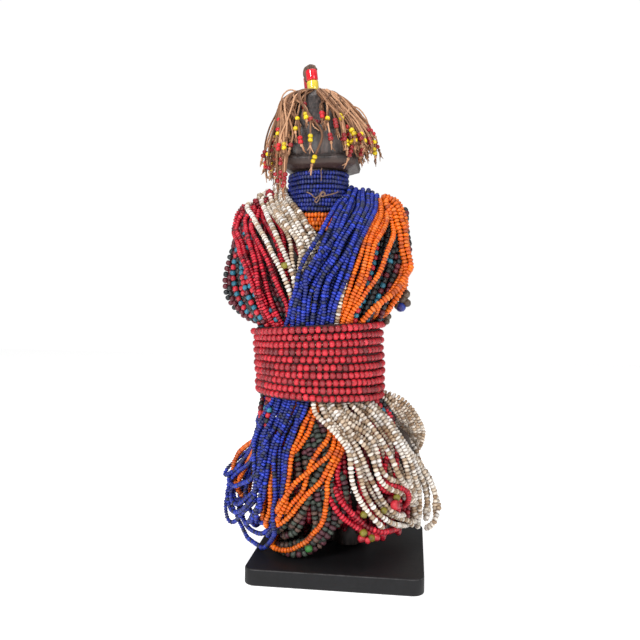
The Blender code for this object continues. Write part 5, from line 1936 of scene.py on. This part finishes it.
FLOOR_HALF = 1.6
FLOOR_GLOW = 0.72
STUDIO_LIGHT = 0.30
BACKDROP_LIGHT = 1.02
# Soft lights: name, place, size and power
LIGHTS = (("key", (-0.35, -0.85, 0.60), 0.30, 6.2),
          ("fill", (0.65, -0.65, 0.42), 0.35, 2.2),
          ("top", (0.0, 0.10, 0.95), 0.60, 3.4))
AIM = Vector((FIGURE_X, FIGURE_Y, 0.16))


def make_floor():
    """A plain pale floor that glows a little, so that it stays even."""
    mesh = bpy.data.meshes.new("floor")
    corners = [(x * FLOOR_HALF, y * FLOOR_HALF, 0.0) for x, y in ((-1, -1), (1, -1), (1, 1), (-1, 1))]
    mesh.from_pydata(corners, [], [(0, 1, 2, 3)])
    material, shader, _ = material_nodes("pale_floor", 0.9)
    shader.inputs["Base Color"].default_value = (0.8, 0.8, 0.8, 1.0)
    shader.inputs["Specular IOR Level"].default_value = 0.1
    shader.inputs["Emission Color"].default_value = (1.0, 1.0, 1.0, 1.0)
    shader.inputs["Emission Strength"].default_value = FLOOR_GLOW
    mesh.materials.append(material)
    placed("floor", mesh)


def make_studio():
    """Even light from all round, brighter where the camera sees the backdrop itself, and soft lights."""
    world = bpy.data.worlds.new("studio")
    world.use_nodes = True
    tree = world.node_tree
    backdrop = tree.nodes["Background"]
    backdrop.inputs["Color"].default_value = (1.0, 1.0, 1.0, 1.0)
    seen = tree.nodes.new("ShaderNodeLightPath")
    power = tree.nodes.new("ShaderNodeMapRange")
    power.inputs["To Min"].default_value = STUDIO_LIGHT
    power.inputs["To Max"].default_value = BACKDROP_LIGHT
    tree.links.new(seen.outputs["Is Camera Ray"], power.inputs["Value"])
    tree.links.new(power.outputs["Result"], backdrop.inputs["Strength"])
    bpy.context.scene.world = world
    bpy.context.scene.view_settings.view_transform = "Standard"
    for name, place, size, energy in LIGHTS:
        data = bpy.data.lights.new(name, "AREA")
        data.size = size
        data.energy = energy
        lamp = placed(name, data)
        lamp.location = place
        lamp.rotation_euler = (AIM - Vector(place)).to_track_quat("-Z", "Y").to_euler()


def make_camera():
    """The photograph's camera, level, with a shift and a little roll."""
    data = bpy.data.cameras.new("camera")
    data.sensor_width = SENSOR
    data.sensor_fit = "HORIZONTAL"
    data.lens = FOCAL_PIXELS / PICTURE * SENSOR
    data.shift_x = (PICTURE / 2 - MIDDLE_X) / PICTURE
    data.shift_y = (MIDDLE_Y - PICTURE / 2) / PICTURE
    camera = placed("camera", data)
    turn = Matrix((RIGHT, UP, -LOOK)).transposed().to_4x4()
    camera.matrix_world = Matrix.Translation(CAMERA_PLACE) @ turn
    bpy.context.scene.camera = camera


def main():
    """Builds the studio and then the doll, from the base up."""
    make_camera()
    make_floor()
    make_studio()
    materials = make_materials()
    make_base()
    make_wood()
    make_belt(materials)
    make_neck(materials)
    make_hanks(materials)
    make_odd_beads(materials)
    make_neck_threads(materials)
    make_hair(materials)
    make_topknot(materials)


main()
